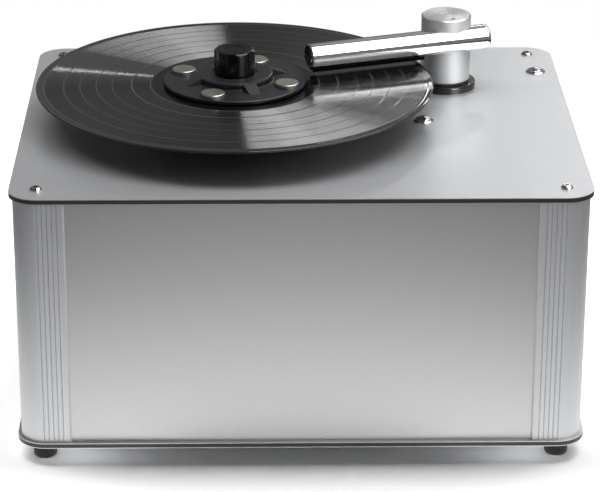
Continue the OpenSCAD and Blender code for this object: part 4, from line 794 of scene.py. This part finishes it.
def makeSeats(values):
    inner, outer, low, high = values["inner"], values["outer"], values["low"], values["high"]
    points = [(inner, low), (outer + values["flare"], low)]
    points += [(outer + out, high - deep) for out, deep in values["outside"]]
    points += [((inner + outer) / 2, high)] + [(inner + out, high - deep) for out, deep in values["inside"]]
    collar = turnProfile("seat", points, 64)
    collars = []
    for i in range(values["count"]):
        turn = math.radians(values["from"] + 360 / values["count"] * i)
        copy = collar.copy()
        copy.data = collar.data.copy()
        bpy.context.scene.collection.objects.link(copy)
        settle(copy, (values["axis"][0] + values["reach"] * math.cos(turn),
                      values["axis"][1] + values["reach"] * math.sin(turn), 0), smooth=60)
        collars.append(copy)
    bpy.data.objects.remove(collar)
    seats = joinPieces(collars, "magnetSeats")
    seats.data.materials.append(finishes["clamp"][0])
    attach(seats, "clamp")


makeSeats(seatValues)
print("magnet seats made")


def makeRecord(values):  # a turned section with its underside like its top, and a paper label on each side
    low, high, edge, label = values["low"], values["high"], values["radius"], values["label"]
    hole, holeEdge, sink = values["hole"], values["holeEdge"], values["labelSink"]
    top = high - values["dip"]
    slope, rise = values["gap"]
    upper = [(hole, high - holeEdge), (hole + holeEdge, high - sink),
             (label + values["labelGap"], high - sink)]
    upper += [(label + out, high - deep) for out, deep in values["ledge"]]
    upper += [(label + values["runOut"], top)]
    for inner, outer in values["bands"]:
        upper += [(inner - slope, top + rise), (inner, top), (outer, top), (outer + slope, top + rise)]
    upper += [(edge - values["rimFrom"], top)]
    upper += [(edge - within, high - deep) for within, deep in values["rim"]]
    lower = [(r, low + high - z) for r, z in reversed(upper)]
    record = turnProfile("pressedRecord", upper + lower, 256)
    settle(record, values["axis"] + (0,), smooth=4)
    record.data.materials.append(finishes["record"][0])
    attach(record, "turntable")
    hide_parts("record")
    start, under, (bulge, up) = hole + values["paperHole"], values["paperUnder"], values["paperEdge"]
    labels = []
    for face, side in ((high, 1), (low, -1)):
        inside = face - side * (sink - under)
        section = [(start, inside), (label, inside), (label + bulge, inside + side * up), (label, face),
                   (start, face)]
        labels.append(turnProfile("label", section, 128))
    paper = joinPieces(labels, "recordLabels")
    settle(paper, values["axis"] + (0,))
    paper.data.materials.append(labelPaper("uncoated paper label", values))
    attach(paper, "turntable")


makeRecord(recordValues)
print("record made")

# The arm: a tube with rolled-over ends, black end caps and two velvet pads under it.
armValues = {
    "pillar": armAxis,
    "angle": armAngle,
    "offset": tubeOffset,
    "height": tubeHeight,
    "reach": 119.24,  # from beside the pillar's axis to the tube's front end
    "tail": 29.1,  # and to its back end
    "radius": 10.0,
    "wall": 1.5,
    # Each end has its bore's edge, its rounding as shares of its size, inwards and along, and the place of a
    # fine turned line.
    "headEnd": {"bore": (0.15, 0.15), "size": 1.0, "line": 1.3,
                "curve": ((1, 0), (0.62, 0.07), (0.29, 0.29), (0.07, 0.62), (0, 1))},
    "tailEnd": {"bore": (0.1, 0.15), "size": 2.2, "line": 3.5,
                "curve": ((0.42, 0), (0.24, 0.12), (0.1, 0.38), (0.02, 0.72), (0, 1))},
    "line": (0.16, 0.6),  # depth and width
    "slot": (4.0, 93.4, 3.0, 4.0),  # start, end, width and depth
    "duct": 12.0,
    "capInset": 1.2,
    "capDepth": 4,
    "capGap": 0.05,
    "capEdge": 0.4,
    "capDish": ((0.55, 0), (0.62, 0.25), (0.78, 0.3), (0.9, 0.1)),  # share of the radius, and how far out
    "pads": (2.6, 94.7),  # start and end of the velvet
    "padSides": (1.7, 4.0),  # from the tube's middle
    "padLow": 237.05,
    "padGap": 0.05,
    "padTips": 0.55,  # how much the pile is rounded off at its sides
    "padSteps": (180, 4),  # along and across
    "tuft": (0.6, 0.22),  # width and depth
}


def armPlace(values):  # from the tube's own length to its place on the machine
    turn = math.radians(values["angle"])
    x, y = -values["reach"], -values["offset"]
    return (values["pillar"][0] + x * math.cos(turn) - y * math.sin(turn),
            values["pillar"][1] + x * math.sin(turn) + y * math.cos(turn), values["height"])


def tubeEnd(values, end):  # half of the tube's section near one end, from the bore outwards
    r, inner, start, size = values["radius"], values["radius"] - values["wall"], end["line"], end["size"]
    depth, width = values["line"]
    points = [(inner, end["bore"][1]), (inner + end["bore"][0], 0)]
    points += [(r - inwards * size, along * size) for inwards, along in end["curve"]]
    return points + [(r, start), (r - depth, start + depth), (r - depth, start + width - depth),
                     (r, start + width)]


def makeTube(values):
    r, length = values["radius"], values["reach"] + values["tail"]
    tail = [(x, length - z) for x, z in reversed(tubeEnd(values, values["tailEnd"]))]
    tube = turnProfile("polishedArmTube", tubeEnd(values, values["headEnd"]) + tail, 128)
    start, stop, width, depth = values["slot"]
    cutAway(tube, startPiece(bpy.ops.mesh.primitive_cube_add, "slotCutter", size=1,
                             location=(r * mm, 0, (start + stop) / 2 * mm),
                             scale=(depth * mm, width * mm, (stop - start) * mm)))
    drill(tube, values["duct"] / 2, r, (r / 2, values["offset"], values["reach"]), across=True)
    settle(tube, armPlace(values), (0, 90, values["angle"]), 35)
    tube.data.materials.append(finishes["tube"][0])
    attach(tube, "arm")
    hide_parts("arm_tube")


def makeTubeCaps(values):
    r = values["radius"] - values["wall"] - values["capGap"]
    inset, depth = values["capInset"], values["capDepth"]
    caps = []
    for side, start in ((1, inset), (-1, values["reach"] + values["tail"] - inset)):
        points = [(0, start)] + [(r * share, start - side * out) for share, out in values["capDish"]]
        points += [(r, start + side * values["capEdge"]), (r, start + side * depth)]
        points.append((0, start + side * depth))
        caps.append(turnProfile("cap", points, 96, closed=False))
    cap = joinPieces(caps, "mouldedTubeCaps")
    settle(cap, armPlace(values), (0, 90, values["angle"]), 35)
    cap.data.materials.append(finishes["knob"][0])
    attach(cap, "arm")
    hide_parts("tube_caps")


def makePad(values, side):  # a finely divided bar, bent to the tube above and rounded at its tips
    start, stop = values["pads"]
    near, far = values["padSides"]
    middle, width = side * (near + far) / 2, far - near
    r, drop = values["radius"] + values["padGap"], values["height"] - values["padLow"]
    pad = startPiece(bpy.ops.mesh.primitive_cube_add, "pad", size=1,
                     location=((start + stop) / 2 * mm, middle * mm, 0.5 * mm),
                     scale=((stop - start) * mm, width * mm, mm))
    bpy.ops.object.transform_apply(location=True, rotation=False, scale=True)
    mesh = bmesh.new()
    mesh.from_mesh(pad.data)
    for lengthwise, cuts in zip((True, False), values["padSteps"]):
        edges = [e for e in mesh.edges if (abs(e.verts[0].co.x - e.verts[1].co.x) > 0.01 * mm) == lengthwise]
        bmesh.ops.subdivide_edges(mesh, edges=edges, cuts=cuts, use_grid_fill=True)
    for vert in mesh.verts:
        y, share = vert.co.y / mm, vert.co.z / mm  # the share is 0 at the pile's tips and 1 at the tube
        roof = -math.sqrt(r * r - y * y)
        tips = -drop + values["padTips"] * abs((y - middle) / (width / 2)) ** 3
        vert.co.z = (tips + share * (roof - tips)) * mm
    mesh.to_mesh(pad.data)
    mesh.free()
    return pad


def makeVelvet(values):
    velvet = joinPieces([makePad(values, side) for side in (1, -1)], "velvetPads")
    width, depth = values["tuft"]
    tufts = bpy.data.textures.new("tufts", "CLOUDS")
    tufts.noise_scale = width * mm
    rough = velvet.modifiers.new("pile", "DISPLACE")
    rough.texture, rough.strength, rough.mid_level = tufts, depth * mm, 1.0
    bpy.ops.object.modifier_apply(modifier="pile")
    settle(velvet, armPlace(values), (0, 0, values["angle"]), 60)
    velvet.data.materials.append(finishes["velvet"][0])
    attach(velvet, "arm")
    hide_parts("velvet_strips")


makeTube(armValues)
makeTubeCaps(armValues)
makeVelvet(armValues)
print("arm made")

# The lift spring inside the guide: round wire, with its end turns closed.
springValues = {
    "axis": armAxis,
    "low": 152.7,
    "high": 170.3,
    "mean": 14.75,  # radius to the wire's middle
    "wire": 1.8,
    "turns": 4.5,
    "closed": 0.6,  # how much of a turn lies nearly flat at each end
    "closedRise": 0.35,
    "steps": 40,  # in each turn
    "travel": 1.8,
}


def makeSpring(values):
    half = values["wire"] / 2
    low, high, turns = values["low"] + half, values["high"] - half, values["turns"]
    closed, rise = values["closed"], values["closedRise"]
    count = int(turns * values["steps"])
    curve = bpy.data.curves.new("liftSpring", "CURVE")
    curve.dimensions = "3D"
    curve.bevel_depth, curve.bevel_resolution, curve.use_fill_caps = half * mm, 5, True
    line = curve.splines.new("POLY")
    line.points.add(count)
    for i, point in enumerate(line.points):
        turned = i / count * turns
        angle = turned * 2 * math.pi
        climb = min(1, max(0, (turned - closed) / (turns - 2 * closed)))
        ends = min(1, turned / closed) + max(0, (turned - turns + closed) / closed)
        lift = low + rise * ends + (high - low - 2 * rise) * climb
        x, y = values["mean"] * math.cos(angle), values["mean"] * math.sin(angle)
        point.co = (x * mm, y * mm, lift * mm, 1)
    spring = bpy.data.objects.new("liftSpring", curve)
    bpy.context.scene.collection.objects.link(spring)
    onlySelect(spring)
    bpy.ops.object.convert(target="MESH")
    spring = bpy.context.object
    settle(spring, values["axis"] + (0,), smooth=50)
    spring.data.materials.append(finishes["zinc"][0])
    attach(spring, "case")
    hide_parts("lift_spring")
    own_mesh(spring)


makeSpring(springValues)
print("spring made")
